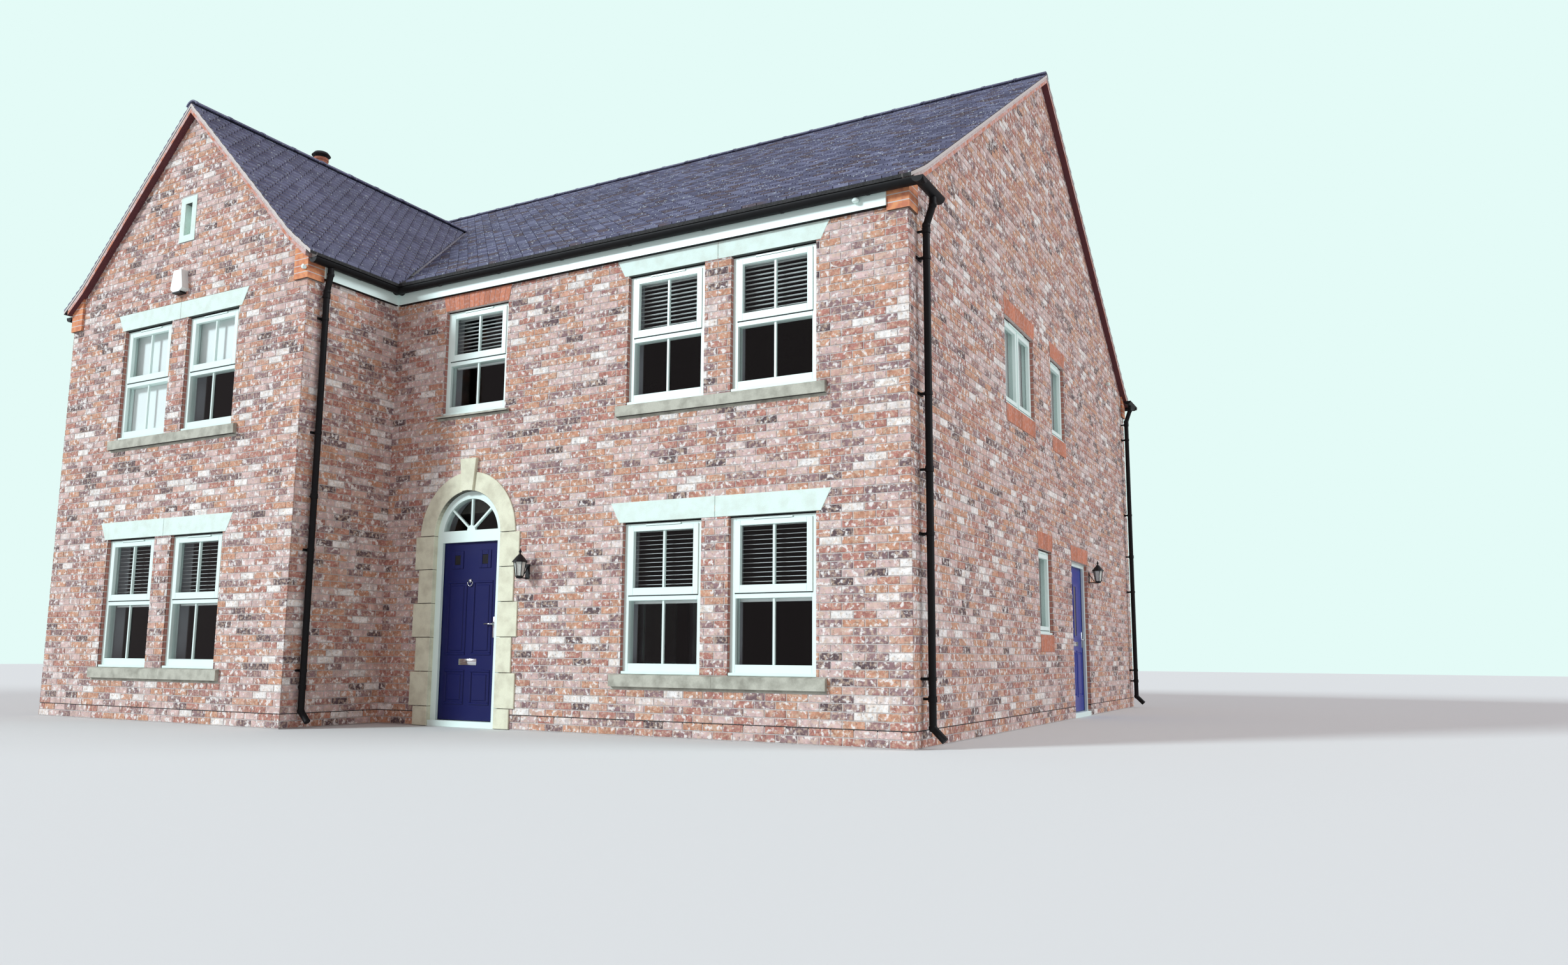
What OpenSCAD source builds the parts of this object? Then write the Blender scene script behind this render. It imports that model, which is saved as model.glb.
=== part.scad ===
// Detached two-storey brick house with a projecting gabled wing.
// Millimetres. +Z up, the front looks along -Y, and the origin is on the
// ground at the middle of the plan.

/* [House] */
// Width of the main range, gable to gable
house_w = 11000; // [10400:10:12500]
// Depth of the main range, front face to back face
house_d = 10150; // [9800:10:11200]
// Width of the front wing
wing_w = 4475; // [4200:5:4700]
// How far the wing stands out from the main front
wing_out = 1305; // [1100:5:1600]
// Thickness of the outside walls
wall_t = 300; // [250:5:350]
// Height of the roof surface over the outside face of an eaves wall
eaves_z = 5215; // [5150:5:5600]

/* [Floors] */
// Thickness of the ground slab, and so the inside floor level
slab_t = 65; // [50:5:90]
// Level of the first floor
first_floor_z = 2640; // [2600:5:2900]
// Thickness of the first floor with its ceiling
first_floor_t = 240; // [180:5:260]

/* [Roof] */
// Pitch of the main roof in degrees
main_pitch = 34.3; // [32:0.1:37]
// Pitch of the wing roof in degrees
wing_pitch = 45; // [42:0.1:46]
// Thickness of the roof, square to the slope
roof_t = 120; // [100:5:150]
// Thickness of the tiles at the eaves edge
tile_edge = 40; // [30:1:50]
// How far the tiles reach past an eaves wall
eaves_over = 130; // [125:1:150]
// How far the eaves edge lies below the roof surface at the wall face
eaves_drop = 50; // [40:1:70]
// Length of the flatter foot of the slope, inside the wall face
sprocket = 250; // [200:5:290]
// How far the tiles reach past a gable wall
verge_over = 90; // [80:1:110]
// Radius of the ridge tiles
ridge_r = 120; // [100:1:140]
// Height of a ridge tile over the roof surface
ridge_rise = 45; // [35:1:60]
// Width of the lead lining in a valley
valley_w = 170; // [120:5:220]
// Thickness of the lead
lead_t = 5; // [3:0.5:8]
// Clearance between the lead and the wing's tiles
lead_gap = 12; // [9:1:20]
// Clearance under the lead and the ridge tiles, and round the mortar of a verge
seat = 0.3; // [0.2:0.1:0.5]

/* [Gable edges] */
// Height of the mortar bed with its undercloak, under the tiles of a verge
verge_bed_h = 43; // [30:1:60]
// How far that bed stays behind the tiles' edge
verge_bed_in = 6; // [3:1:15]
// Width and depth of a corbelled corner block
kneeler_w = 225; // [200:5:240]
// Height of the underside of the corner blocks
kneeler_z = 4885; // [4850:5:4900]
// How far a corner block stands out of the wall
kneeler_out = 30; // [20:1:40]

/* [Sash windows] */
// Width of a sash window opening
sash_w = 940; // [860:5:960]
// Width of the brick pier between two paired windows
pier_w = 310; // [280:5:360]
// Distance of the main range's paired windows from the right gable wall
pair_from_gable = 2025; // [1900:5:2100]
// Sill level of the ground floor windows
ground_sill_z = 605; // [530:5:620]
// Head level of the ground floor windows
ground_head_z = 2130; // [2100:5:2150]
// Sill level of the first floor windows
upper_sill_z = 3360; // [3290:5:3400]
// Head level of the first floor windows
upper_head_z = 4745; // [4700:5:4750]
// Sill level of the window over the front door
hall_sill_z = 3505; // [3475:5:3550]
// Depth of a frame behind the wall face
recess = 40; // [30:1:60]
// Width of the frame members
frame_w = 62; // [50:1:70]
// Depth of a frame
frame_d = 90; // [70:1:100]
// Height of the meeting rails
meeting_h = 55; // [45:1:65]
// Width from which a casement has a mullion
mullion_from = 900; // [800:10:1000]
// How far a meeting rail stays behind the frame's faces
rail_in = 10; // [5:1:20]
// Thickness of the glass
glass_t = 24; // [16:1:28]

/* [Stone dressings] */
// Depth of the stone pieces in the wall
stone_d = 100; // [90:5:120]
// Height of the stone lintels
lintel_h = 210; // [190:5:215]
// How far a lintel's foot reaches past an opening
lintel_rest = 50; // [40:5:80]
// How far a lintel's top reaches past its foot, at each end
lintel_splay = 110; // [80:5:120]
// Height of the stone sills
sill_h = 150; // [110:5:160]
// How far a lintel or brick arch stands out of the wall
dress_out = 8; // [5:1:12]
// How far a stone sill reaches past its openings, at each end
sill_rest = 110; // [80:5:120]
// How far a sill stands out of the wall
sill_out = 50; // [35:1:60]
// Height of the thin sill over the front door
thin_sill_h = 60; // [50:1:70]
// How far it reaches past the opening, at each end
thin_sill_rest = 70; // [50:5:90]

/* [Brick dressings] */
// Height of the flat brick arches
arch_h = 210; // [190:5:215]
// How far a brick arch's foot reaches past its opening
arch_rest = 10; // [5:1:30]
// How far its top reaches past its foot, at each end
arch_splay = 45; // [30:5:60]
// Height of the brick aprons under the side windows
apron_h = 210; // [150:5:225]

/* [Front door] */
// Distance of the door's centre from the wing's side wall
door_from_wing = 1275; // [1200:5:1400]
// Width of the front door's opening
door_w = 980; // [940:5:1000]
// Height at which the arch springs
spring_z = 2115; // [2100:5:2130]
// Width of the stone arch ring and of the narrow jamb stones
ring_w = 215; // [190:5:230]
// Width of the wide jamb stones
impost_w = 280; // [250:5:300]
// Height of a jamb stone
jamb_stone_h = 380; // [340:5:400]
// How far the stone stands out of the brick
stone_out = 20; // [10:1:30]
// Height of the keystone over the foot of the ring
key_h = 365; // [300:5:380]
// Width of the keystone's head
key_w = 240; // [200:5:260]
// How far the keystone stands out of the brick
key_out = 45; // [35:1:60]
// Width of the door frame's face
door_frame_w = 82; // [70:1:90]
// Height of the transom over the door
transom_h = 130; // [100:5:150]
// Height of the transom's underside
door_head_z = 2035; // [2000:5:2050]

/* [Doors] */
// Thickness of a door leaf
leaf_t = 44; // [40:1:50]
// Lap of a frame over the leaf
leaf_lap = 12; // [8:1:15]
// Clearance round a leaf
leaf_gap = 7; // [6.5:0.5:9]
// Depth from a frame's face to the leaf
leaf_set = 40; // [30:1:45]
// Radius of a hinge barrel
hinge_r = 7; // [6:0.5:8]
// Height of one hinge knuckle
knuckle_h = 35; // [25:5:45]
// Distance of the outer hinges from the ends of a leaf
hinge_in = 200; // [150:5:250]
// Gap between the two knuckles of a hinge
knuckle_gap = 0.3; // [0.2:0.1:0.5]
// Angle of the front door
front_door_open = 0; // [0:1:100]
// Angle of the side door
side_door_open = 0; // [0:1:100]

/* [Side openings] */
// Distance of the wide upper window's centre from the front
side_wide_y = 3665; // [3400:5:3800]
// Width of the wide upper window
side_wide_w = 1240; // [1100:5:1300]
// Distance of the narrow upper window's centre from the front
side_narrow_y = 5500; // [5300:5:5700]
// Width of the narrow upper window
side_narrow_w = 720; // [600:5:750]
// Sill level of the upper side windows
side_sill_z = 3700; // [3600:5:3750]
// Distance of the lower window's centre from the front
side_low_y = 4605; // [4400:5:4700]
// Width of the lower window
side_low_w = 640; // [600:5:700]
// Sill level of the lower window
side_low_sill_z = 1080; // [950:5:1200]
// Distance of the side door's centre from the front
side_door_y = 6465; // [6200:5:6600]
// Width of the side door's opening
side_door_w = 940; // [900:5:960]
// Width of the side door frame's face
side_frame_w = 60; // [50:1:70]
// Distance of the back windows' centres from the gable walls
back_pair_x = 2240; // [2000:5:2500]

/* [Rainwater] */
// How far the fascia stands out of the wall
fascia_out = 50; // [40:1:60]
// Height of the fascia's lower edge
fascia_z = 4930; // [4900:5:4940]
// Radius of the gutters
gutter_r = 57; // [50:1:62]
// Thickness of gutters and pipes
gutter_t = 3; // [2:0.5:4]
// Height of the gutter's rim
gutter_z = 5098; // [5090:1:5110]
// Clearance between a gutter and the roof
gutter_gap = 10; // [5:1:20]
// Length of the gutter that turns round a corner of the gable
gutter_return = 430; // [380:5:500]
// Radius of the downpipes
pipe_r = 34; // [30:1:40]
// Distance of a downpipe's middle from a gable wall
pipe_off = 90; // [75:1:110]
// Distance of the wing pipe's middle from its wall
wing_pipe_off = 62; // [55:1:75]
// Height of the shoe at the foot of a pipe
shoe_z = 180; // [120:5:250]
// Distance of the wing's pipe from the wing's front
wing_pipe_y = 215; // [180:5:260]
// Distance of the front pipe from the front corner
front_pipe_y = 240; // [200:5:300]
// Distance of the back pipe from the back corner
back_pipe_y = 220; // [180:5:300]

/* [Chimney] */
// Distance of the stack's middle from the main front
stack_y = 2040; // [1900:5:2300]
// Size of the stack along the gable wall
stack_d = 675; // [560:5:700]
// Size of the stack across the gable wall
stack_w = 560; // [450:5:600]
// Height of the stack's top
stack_z = 8350; // [8100:10:8400]
// Height at which the stack leaves the wall
stack_foot_z = 5900; // [5700:10:6000]
// Radius of the pot
pot_r = 105; // [90:1:120]
// Height of the pot
pot_h = 260; // [200:5:300]
// Thickness of the pot
pot_t = 20; // [15:1:25]
// Radius of the cowl over the pot
cowl_r = 145; // [130:1:170]
// Height of the cowl
cowl_h = 45; // [30:1:60]
// Height of the gap under the cowl
cowl_gap = 50; // [30:1:60]
// How far a corbelled course of the stack stands out
corbel_out = 30; // [15:5:40]
// Distance of that course's foot from the stack's top
corbel_drop = 150; // [75:75:225]

/* [Fittings] */
// Distance from the wing's ridge down to the head of the slit vent
slit_drop = 1170; // [1100:5:1250]
// Height of the slit vent's stone
slit_h = 570; // [540:5:620]
// Width of the slit vent's stone
slit_w = 300; // [260:5:330]
// Width of the slot in the stone
slot_w = 130; // [100:1:150]
// Margin of stone above and below the slot
slot_margin = 85; // [70:5:110]
// Level of the alarm box's foot
alarm_z = 5060; // [5040:5:5120]
// Width of the alarm box
alarm_w = 230; // [200:5:280]
// Width of its top
alarm_top_w = 150; // [120:5:190]
// Height of the bevel at its foot
alarm_lip = 40; // [20:5:60]
// Height of the alarm box
alarm_h = 270; // [220:5:300]
// Depth of the alarm box
alarm_d = 90; // [60:1:100]
// Distance of the front lantern from the door's centre
lantern_x = 890; // [850:5:950]
// Level of the front lantern's foot
lantern_z = 1590; // [1500:5:1700]
// Distance of the side lantern from the side door's centre
side_lantern_y = 585; // [560:5:700]
// Level of the side lantern's foot
side_lantern_z = 1865; // [1700:5:1900]
// Height of a lantern
lantern_h = 320; // [280:5:340]
// Reach of a lantern's arm from its back plate to the lamp's edge
lantern_arm = 60; // [40:5:80]
// Width of a lantern's back plate
lantern_plate_w = 60; // [50:5:70]
// Thickness of that plate
lantern_plate_t = 10; // [5:1:15]

/* [Hidden] */
$fn = 48;
CUT = 20;                                   // reach of a cutting tool past a face
course = 75;                                // height of a course of bricks

x_l = -house_w / 2;
x_r = house_w / 2;
x_w = x_l + wing_w;
x_wc = x_l + wing_w / 2;
y_f = -(house_d - wing_out) / 2;
y_b = y_f + house_d;
y_m = y_f + house_d / 2;
y_w = y_f - wing_out;
door_x = x_w + door_from_wing;
pair_x = x_r - pair_from_gable;
pair_w = 2 * sash_w + pier_w;
stack_x = x_l + stack_w / 2;

main_tan = tan(main_pitch);
wing_tan = tan(wing_pitch);
main_v = roof_t / cos(main_pitch);          // roof thickness, straight down
wing_v = roof_t / cos(wing_pitch);
edge_z = eaves_z - eaves_drop;
corner = kneeler_w - kneeler_out;           // a corner block's reach along a wall
soffit_z = gutter_z + gutter_gap;           // underside of the oversailing tiles
ridge_z = eaves_z + main_tan * house_d / 2;
wing_ridge_z = eaves_z + wing_tan * wing_w / 2;
y_valley = y_f + (wing_ridge_z - eaves_z) / main_tan;

function span(c, w) = [c - w / 2, c + w / 2];
function grow(s, a) = [s[0] - a, s[1] + a];
function pair(c) = [for (s = [-1, 1]) c + s * (sash_w + pier_w) / 2];

// A box from its three spans
module block(x, y, z)
    translate([x[0], y[0], z[0]])
        cube([x[1] - x[0], y[1] - y[0], z[1] - z[0]]);
// Carry a section drawn in Y and Z along X
module along_x(x)
    translate([x[0], 0, 0]) rotate([90, 0, 90])
        linear_extrude(x[1] - x[0]) children();
// Carry a section drawn in X and Z along Y
module along_y(y)
    translate([0, y[1], 0]) rotate([90, 0, 0])
        linear_extrude(y[1] - y[0]) children();

// Each face of the house seen from outside: X along it, Y into the wall, Z up
module on_front() translate([0, y_f, 0]) children();
module on_wing() translate([0, y_w, 0]) children();
module on_back() translate([0, y_b, 0]) mirror([0, 1, 0]) children();
module on_right() translate([x_r, y_f, 0]) rotate([0, 0, 90]) children();
module on_left()
    translate([x_l, y_f, 0]) mirror([1, 0, 0]) rotate([0, 0, 90]) children();

// Roof sections
function main_top(y) = eaves_z + main_tan * (house_d / 2 - abs(y - y_m));
function wing_top(x) = eaves_z + wing_tan * (wing_w / 2 - abs(x - x_wc));
module main_slope()
    polygon([[y_f - eaves_over, edge_z], [y_f + sprocket, main_top(y_f + sprocket)],
             [y_m, ridge_z], [y_m, ridge_z - main_v],
             [y_f, eaves_z - main_v], [y_f, soffit_z], [y_f - fascia_out, soffit_z],
             [y_f - eaves_over, edge_z - tile_edge]]);
// The tiles alone, which oversail the gable walls
module main_tiles()
    polygon([[y_f - eaves_over, edge_z], [y_f + sprocket, main_top(y_f + sprocket)],
             [y_m, ridge_z], [y_m, ridge_z - tile_edge],
             [y_f + sprocket, main_top(y_f + sprocket) - tile_edge],
             [y_f - eaves_over, edge_z - tile_edge]]);
module under_main_top()
    polygon([[y_f - eaves_over, 0], [y_f - eaves_over, edge_z],
             [y_f + sprocket, main_top(y_f + sprocket)], [y_m, ridge_z], [y_m, 0]]);
module under_main()
    polygon([[y_f - CUT, 0], [y_f - CUT, eaves_z - main_v], [y_f, eaves_z - main_v],
             [y_m, ridge_z - main_v], [y_b, eaves_z - main_v],
             [y_b + CUT, eaves_z - main_v], [y_b + CUT, 0]]);
module wing_slope()
    polygon([[x_w + eaves_over, edge_z], [x_w - sprocket, wing_top(x_w - sprocket)],
             [x_wc, wing_ridge_z], [x_wc, wing_ridge_z - wing_v],
             [x_w, eaves_z - wing_v], [x_w, soffit_z], [x_w + fascia_out, soffit_z],
             [x_w + eaves_over, edge_z - tile_edge]]);
module wing_tiles()
    polygon([[x_w + eaves_over, edge_z], [x_w - sprocket, wing_top(x_w - sprocket)],
             [x_wc, wing_ridge_z], [x_wc, wing_ridge_z - tile_edge],
             [x_w - sprocket, wing_top(x_w - sprocket) - tile_edge],
             [x_w + eaves_over, edge_z - tile_edge]]);
module under_wing()
    polygon([[x_l, 0], [x_l, eaves_z - wing_v], [x_wc, wing_ridge_z - wing_v],
             [x_w, eaves_z - wing_v], [x_w, 0]]);
// All the space under the roof, the walls' own included
module roof_space() {
    along_x([x_l - CUT, x_r + CUT]) under_main();
    along_y([y_w - CUT, y_valley]) under_wing();
}
module wall(x, y, z)
    intersection() {
        block(x, y, z);
        roof_space();
    }
TALL = [0, ridge_z];

// Openings and dressings, each on its own face
module hole(c, w, z) block(span(c, w), [-CUT, wall_t + CUT], z);
module lintel(w)
    polygon([[-w / 2 - lintel_rest, 0], [w / 2 + lintel_rest, 0],
             [w / 2 + lintel_rest + lintel_splay, lintel_h],
             [-w / 2 - lintel_rest - lintel_splay, lintel_h]]);
module brick_arch(w)
    polygon([[-w / 2 - arch_rest, 0], [w / 2 + arch_rest, 0],
             [w / 2 + arch_rest + arch_splay, arch_h],
             [-w / 2 - arch_rest - arch_splay, arch_h]]);
module dressed(c, z, d) translate([c, 0, z]) along_y([-dress_out, d]) children();
module sill(c, w, z, h, rest)
    block(span(c, w + 2 * rest), [-sill_out, stone_d], [z - h, z]);

wing_c = x_wc;
side_upper = [[side_wide_y, side_wide_w], [side_narrow_y, side_narrow_w]];
back_pairs = [x_l + back_pair_x, x_r - back_pair_x];

module pair_holes(c)
    for (u = pair(c)) {
        hole(u, sash_w, [ground_sill_z, ground_head_z]);
        hole(u, sash_w, [upper_sill_z, upper_head_z]);
    }
module pair_lintels(c)
    for (z = [ground_head_z, upper_head_z]) dressed(c, z, stone_d) lintel(pair_w);
module pair_sills(c)
    for (z = [ground_sill_z, upper_sill_z]) sill(c, pair_w, z, sill_h, sill_rest);
module side_holes() {
    for (s = side_upper) hole(s[0], s[1], [side_sill_z, upper_head_z]);
    hole(side_low_y, side_low_w, [side_low_sill_z, ground_head_z]);
}
module side_arches() {
    for (s = side_upper) dressed(s[0], upper_head_z, stone_d) brick_arch(s[1]);
    dressed(side_low_y, ground_head_z, stone_d) brick_arch(side_low_w);
}
module side_aprons() {
    for (s = side_upper)
        block(span(s[0], s[1]), [-dress_out, stone_d], [side_sill_z - apron_h, side_sill_z]);
    block(span(side_low_y, side_low_w), [-dress_out, stone_d],
          [side_low_sill_z - apron_h, side_low_sill_z]);
}
module side_door_arch() dressed(side_door_y, spring_z, stone_d) brick_arch(side_door_w);
module hall_arch() dressed(door_x, upper_head_z, stone_d) brick_arch(sash_w);
module hall_sill() sill(door_x, sash_w, hall_sill_z, thin_sill_h, thin_sill_rest);

// The stone round the front door, drawn about the foot of the arch
module ring_outline(r)
    intersection() {
        circle(r, $fn = 96);
        translate([-r, 0]) square([2 * r, r]);
    }
module jamb_outline()
    for (k = [0 : ceil(spring_z / jamb_stone_h) - 1]) {
        top = spring_z - k * jamb_stone_h;
        low = max(top - jamb_stone_h, 0);
        w = k % 2 == 0 ? impost_w : ring_w;
        translate([-door_w / 2 - w, low - spring_z]) square([w, top - low]);
        translate([door_w / 2, low - spring_z]) square([w, top - low]);
    }
module key_outline()
    polygon([[-key_w / 3, door_w / 2 - CUT], [key_w / 3, door_w / 2 - CUT],
             [key_w / 2, door_w / 2 + key_h], [-key_w / 2, door_w / 2 + key_h]]);
module surround_outline() {
    difference() {
        union() {
            ring_outline(door_w / 2 + ring_w);
            jamb_outline();
        }
        ring_outline(door_w / 2);
    }
}
module at_arch(d) translate([door_x, 0, spring_z]) along_y(d) children();
module surround(front) {
    at_arch([front ? -stone_out : -CUT - key_out, stone_d]) surround_outline();
    at_arch([-key_out, stone_d]) difference() {
        key_outline();
        circle(door_w / 2, $fn = 96);
    }
}
module door_hole() {
    hole(door_x, door_w, [-CUT, spring_z]);
    at_arch([-CUT, wall_t + CUT]) ring_outline(door_w / 2);
}
module front_cuts() {
    pair_holes(pair_x);
    pair_lintels(pair_x);
    pair_sills(pair_x);
    hole(door_x, sash_w, [hall_sill_z, upper_head_z]);
    hall_arch();
    hall_sill();
    surround(false);
    door_hole();
}

// Walls
BRICK = "#8f5f52";
over_l = door_x - door_w / 2 - impost_w;
over_r = door_x + door_w / 2 + impost_w;
module front_wall_left() color(BRICK)
    difference() {
        union() {
            wall([x_w - wall_t, over_l], [y_f, y_f + wall_t], TALL);
            wall([over_l, door_x - door_w / 2], [y_f, y_f + wall_t], [0, spring_z]);
        }
        on_front() front_cuts();
    }
module front_wall_right() color(BRICK)
    difference() {
        union() {
            wall([over_r, x_r], [y_f, y_f + wall_t], TALL);
            wall([door_x + door_w / 2, over_r], [y_f, y_f + wall_t], [0, spring_z]);
        }
        on_front() front_cuts();
    }
module front_wall_over_door() color(BRICK)
    difference() {
        wall([over_l, over_r], [y_f, y_f + wall_t], [spring_z, ridge_z]);
        on_front() front_cuts();
    }
module wing_front_wall() color(BRICK)
    difference() {
        wall([x_l, x_w], [y_w, y_w + wall_t], TALL);
        on_wing() {
            pair_holes(wing_c);
            pair_lintels(wing_c);
            pair_sills(wing_c);
            slit_cut();
        }
    }
module wing_side_wall() color(BRICK)
    wall([x_w - wall_t, x_w], [y_w + wall_t, y_f], TALL);
module left_gable_wall() color(BRICK)
    difference() {
        wall([x_l, x_l + wall_t], [y_w + wall_t, y_b - wall_t], TALL);
        on_left() {
            side_holes();
            side_arches();
            side_aprons();
        }
        stack_body();
    }
module side_cuts() {
    side_holes();
    side_arches();
    side_aprons();
    side_door_arch();
}
module side_wall_front() color(BRICK)
    difference() {
        wall([x_r - wall_t, x_r], [y_f + wall_t, y_f + side_door_y - side_door_w / 2],
             [0, first_floor_z]);
        on_right() side_cuts();
    }
module side_wall_back() color(BRICK)
    difference() {
        wall([x_r - wall_t, x_r], [y_f + side_door_y + side_door_w / 2, y_b - wall_t],
             [0, first_floor_z]);
        on_right() side_cuts();
    }
module side_wall_over_door() color(BRICK)
    difference() {
        block([x_r - wall_t, x_r],
              span(y_f + side_door_y, side_door_w), [spring_z, first_floor_z]);
        on_right() side_door_arch();
    }
module right_gable_wall() color(BRICK)
    difference() {
        wall([x_r - wall_t, x_r], [y_f + wall_t, y_b - wall_t], [first_floor_z, ridge_z]);
        on_right() side_cuts();
    }
module back_wall() color(BRICK)
    difference() {
        wall([x_l, x_r], [y_b - wall_t, y_b], TALL);
        on_back() for (c = back_pairs) {
            pair_holes(c);
            pair_lintels(c);
            pair_sills(c);
        }
    }

// Floors
module floor_plan(z) {
    block([x_l + wall_t, x_r - wall_t], [y_f + wall_t, y_b - wall_t], z);
    block([x_l + wall_t, x_w - wall_t], [y_w + wall_t, y_f + wall_t], z);
}
module ground_floor() color("#a39a8c") floor_plan([0, slab_t]);
module first_floor() color("#c8bda8")
    floor_plan([first_floor_z - first_floor_t, first_floor_z]);

// Roofs
TILE = "#4a4646";
module main_half() {
    along_x([x_l, x_r]) main_slope();
    along_x([x_l - verge_over, x_r + verge_over]) main_tiles();
}
module wing_half() {
    along_y([y_w, y_valley + CUT]) wing_slope();
    along_y([y_w - verge_over, y_w]) wing_tiles();
}
module main_roof_front() color(TILE)
    difference() {
        main_half();
        along_y([y_w, y_valley]) under_wing();
        stack_notch();
    }
module main_roof_back() color(TILE)
    translate([0, 2 * y_m, 0]) mirror([0, 1, 0]) main_half();
module wing_roof_right() color(TILE)
    difference() {
        wing_half();
        along_x([x_l - verge_over, x_r]) under_main_top();
    }
module wing_roof_left() color(TILE)
    difference() {
        translate([2 * x_wc, 0, 0]) mirror([1, 0, 0]) wing_half();
        along_x([x_l - eaves_over - CUT, x_r]) under_main_top();
    }
module ridge_tiles() color("#5a504c") {
    along_x([x_l - verge_over, x_r + verge_over])
        difference() {
            translate([y_m, ridge_z + ridge_rise - ridge_r]) circle(ridge_r);
            translate([0, seat])
                polygon([[y_f, eaves_z], [y_m, ridge_z], [y_b, eaves_z], [y_b, 0], [y_f, 0]]);
        }
    difference() {
        along_y([y_w - verge_over, y_valley + CUT])
            difference() {
                translate([x_wc, wing_ridge_z + ridge_rise - ridge_r]) circle(ridge_r);
                translate([0, seat])
                    polygon([[x_l, eaves_z], [x_wc, wing_ridge_z], [x_w, eaves_z],
                             [x_w, 0], [x_l, 0]]);
            }
        translate([0, 0, (lead_t + 2 * seat) / cos(main_pitch)])
            along_x([x_l, x_r]) under_main_top();
    }
}
// Lead laid on the main slope beside each valley, drawn on that slope
module valley_lead() color("#8d9298") {
    run = (y_valley - y_f) / cos(main_pitch);
    low = (sprocket * wing_tan / main_tan + lead_gap) / cos(main_pitch);
    half = wing_w / 2 * (1 - low / run) + lead_gap;
    for (s = [-1, 1])
        translate([x_wc, y_f, eaves_z + seat / cos(main_pitch)]) rotate([main_pitch, 0, 0])
            linear_extrude(lead_t)
                polygon([[s * half, low], [s * (half + valley_w), low],
                         [s * valley_w, run], [s * lead_gap, run]]);
}
// A gable's edge, drawn for the half of a gable that rises to the right of x = 0
function verge_slope(rise_tan) = (sprocket * rise_tan + eaves_drop) / (sprocket + eaves_over);
function verge_foot(x, rise_tan) =
    edge_z - tile_edge - verge_bed_h + (x + eaves_over) * verge_slope(rise_tan);
// The mortar bed under the oversailing tiles
module verge_half(run, rise_tan) {
    low = verge_foot(-fascia_out, rise_tan) + seat;
    knee = verge_foot(sprocket, rise_tan) + seat;
    head = eaves_z + run * rise_tan - tile_edge - verge_bed_h + seat;
    bed = verge_bed_h - 2 * seat;
    along_y([verge_bed_in - verge_over, 0])
        polygon([[-fascia_out, low], [sprocket, knee], [run, head],
                 [run, head + bed], [sprocket, knee + bed], [-fascia_out, low + bed]]);
}
// The corbelled block at its foot, and that block's return round the corner
module kneeler_face(rise_tan)
    along_y([-kneeler_out, 0])
        polygon([[-kneeler_out, kneeler_z], [corner, kneeler_z],
                 [corner, verge_foot(corner, rise_tan)],
                 [-kneeler_out, verge_foot(-kneeler_out, rise_tan)]]);
module kneeler(rise_tan) {
    kneeler_face(rise_tan);
    block([-kneeler_out, 0], [0, corner], [kneeler_z, soffit_z]);
}
module both_ends(run) {
    children();
    translate([run, 0, 0]) mirror([1, 0, 0]) children();
}
MORTAR = "#cdbfae";
module wing_verge() color(MORTAR)
    on_wing() translate([x_l, 0, 0]) both_ends(wing_w) verge_half(wing_w / 2, wing_tan);
module main_verge() both_ends(house_d) verge_half(house_d / 2, main_tan);
module right_verge() color(MORTAR) on_right() main_verge();
module left_verge() color(MORTAR)
    difference() {
        on_left() main_verge();
        stack_notch();
    }
module kneelers() color("#b0553c") {
    on_wing() translate([x_l, 0, 0]) both_ends(wing_w) kneeler(wing_tan);
    on_right() both_ends(house_d) kneeler(main_tan);
    on_left() {
        kneeler_face(main_tan);
        translate([house_d, 0, 0]) mirror([1, 0, 0]) kneeler(main_tan);
    }
}

// Fascias, gutters and downpipes
module fascias() color("#e8eef0") {
    fz = [fascia_z, soffit_z];
    block([x_w, x_r - corner], [y_f - fascia_out, y_f], fz);
    block([x_w, x_w + fascia_out], [y_w + corner, y_f - fascia_out], fz);
    block([x_l - fascia_out, x_l], [y_w + corner, y_f - kneeler_out], fz);
    block([x_l + corner, x_r - corner], [y_b, y_b + fascia_out], fz);
}
gutter_off = fascia_out + gutter_r;         // from an eaves wall
return_off = verge_over + gutter_gap + gutter_r;    // from a gable wall
module gutter_section(r)
    intersection() {
        circle(r);
        translate([-r, -r]) square([2 * r, r]);
    }
module run_x(x, y, r) along_x(x) translate([y, gutter_z]) gutter_section(r);
module run_y(x, y, r) along_y(y) translate([x, gutter_z]) gutter_section(r);
// Each run of gutter as a solid of radius r, its ends drawn in by e
module front_runs(r, e) {
    run_x([x_w + gutter_off - r, x_r + return_off + r], y_f - gutter_off, r);
    run_y(x_w + gutter_off, [y_w - kneeler_out + e, y_f - gutter_off + r], r);
    run_y(x_r + return_off, [y_f - gutter_off - r, y_f + gutter_return - e], r);
}
module left_run(r, e)
    run_y(x_l - gutter_off, [y_w - kneeler_out + e, y_f - kneeler_out - e], r);
module back_runs(r, e) {
    run_x([x_l - return_off - r, x_r + return_off + r], y_b + gutter_off, r);
    for (x = [x_l - return_off, x_r + return_off])
        run_y(x, [y_b - gutter_return + e, y_b + gutter_off + r], r);
}
module gutters() color("#17181a") {
    difference() {
        front_runs(gutter_r, 0);
        front_runs(gutter_r - gutter_t, gutter_t);
    }
    difference() {
        left_run(gutter_r, 0);
        left_run(gutter_r - gutter_t, gutter_t);
    }
    difference() {
        back_runs(gutter_r, 0);
        back_runs(gutter_r - gutter_t, gutter_t);
    }
}
// A round bar between two points
module bar(a, b, r) {
    d = b - a;
    translate(a) rotate([0, atan2(norm([d[0], d[1]]), d[2]), atan2(d[1], d[0])])
        cylinder(h = norm(d), r = r);
}
neck_h = 190;                               // fall of the swan neck
outlet_h = 70;                              // straight pipe under the gutter
shoe_out = 110;                             // reach of the shoe at the foot
strap_h = 50;                               // height of a bracket's strap
socket_t = 6;                               // a socket or strap past the pipe
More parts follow.
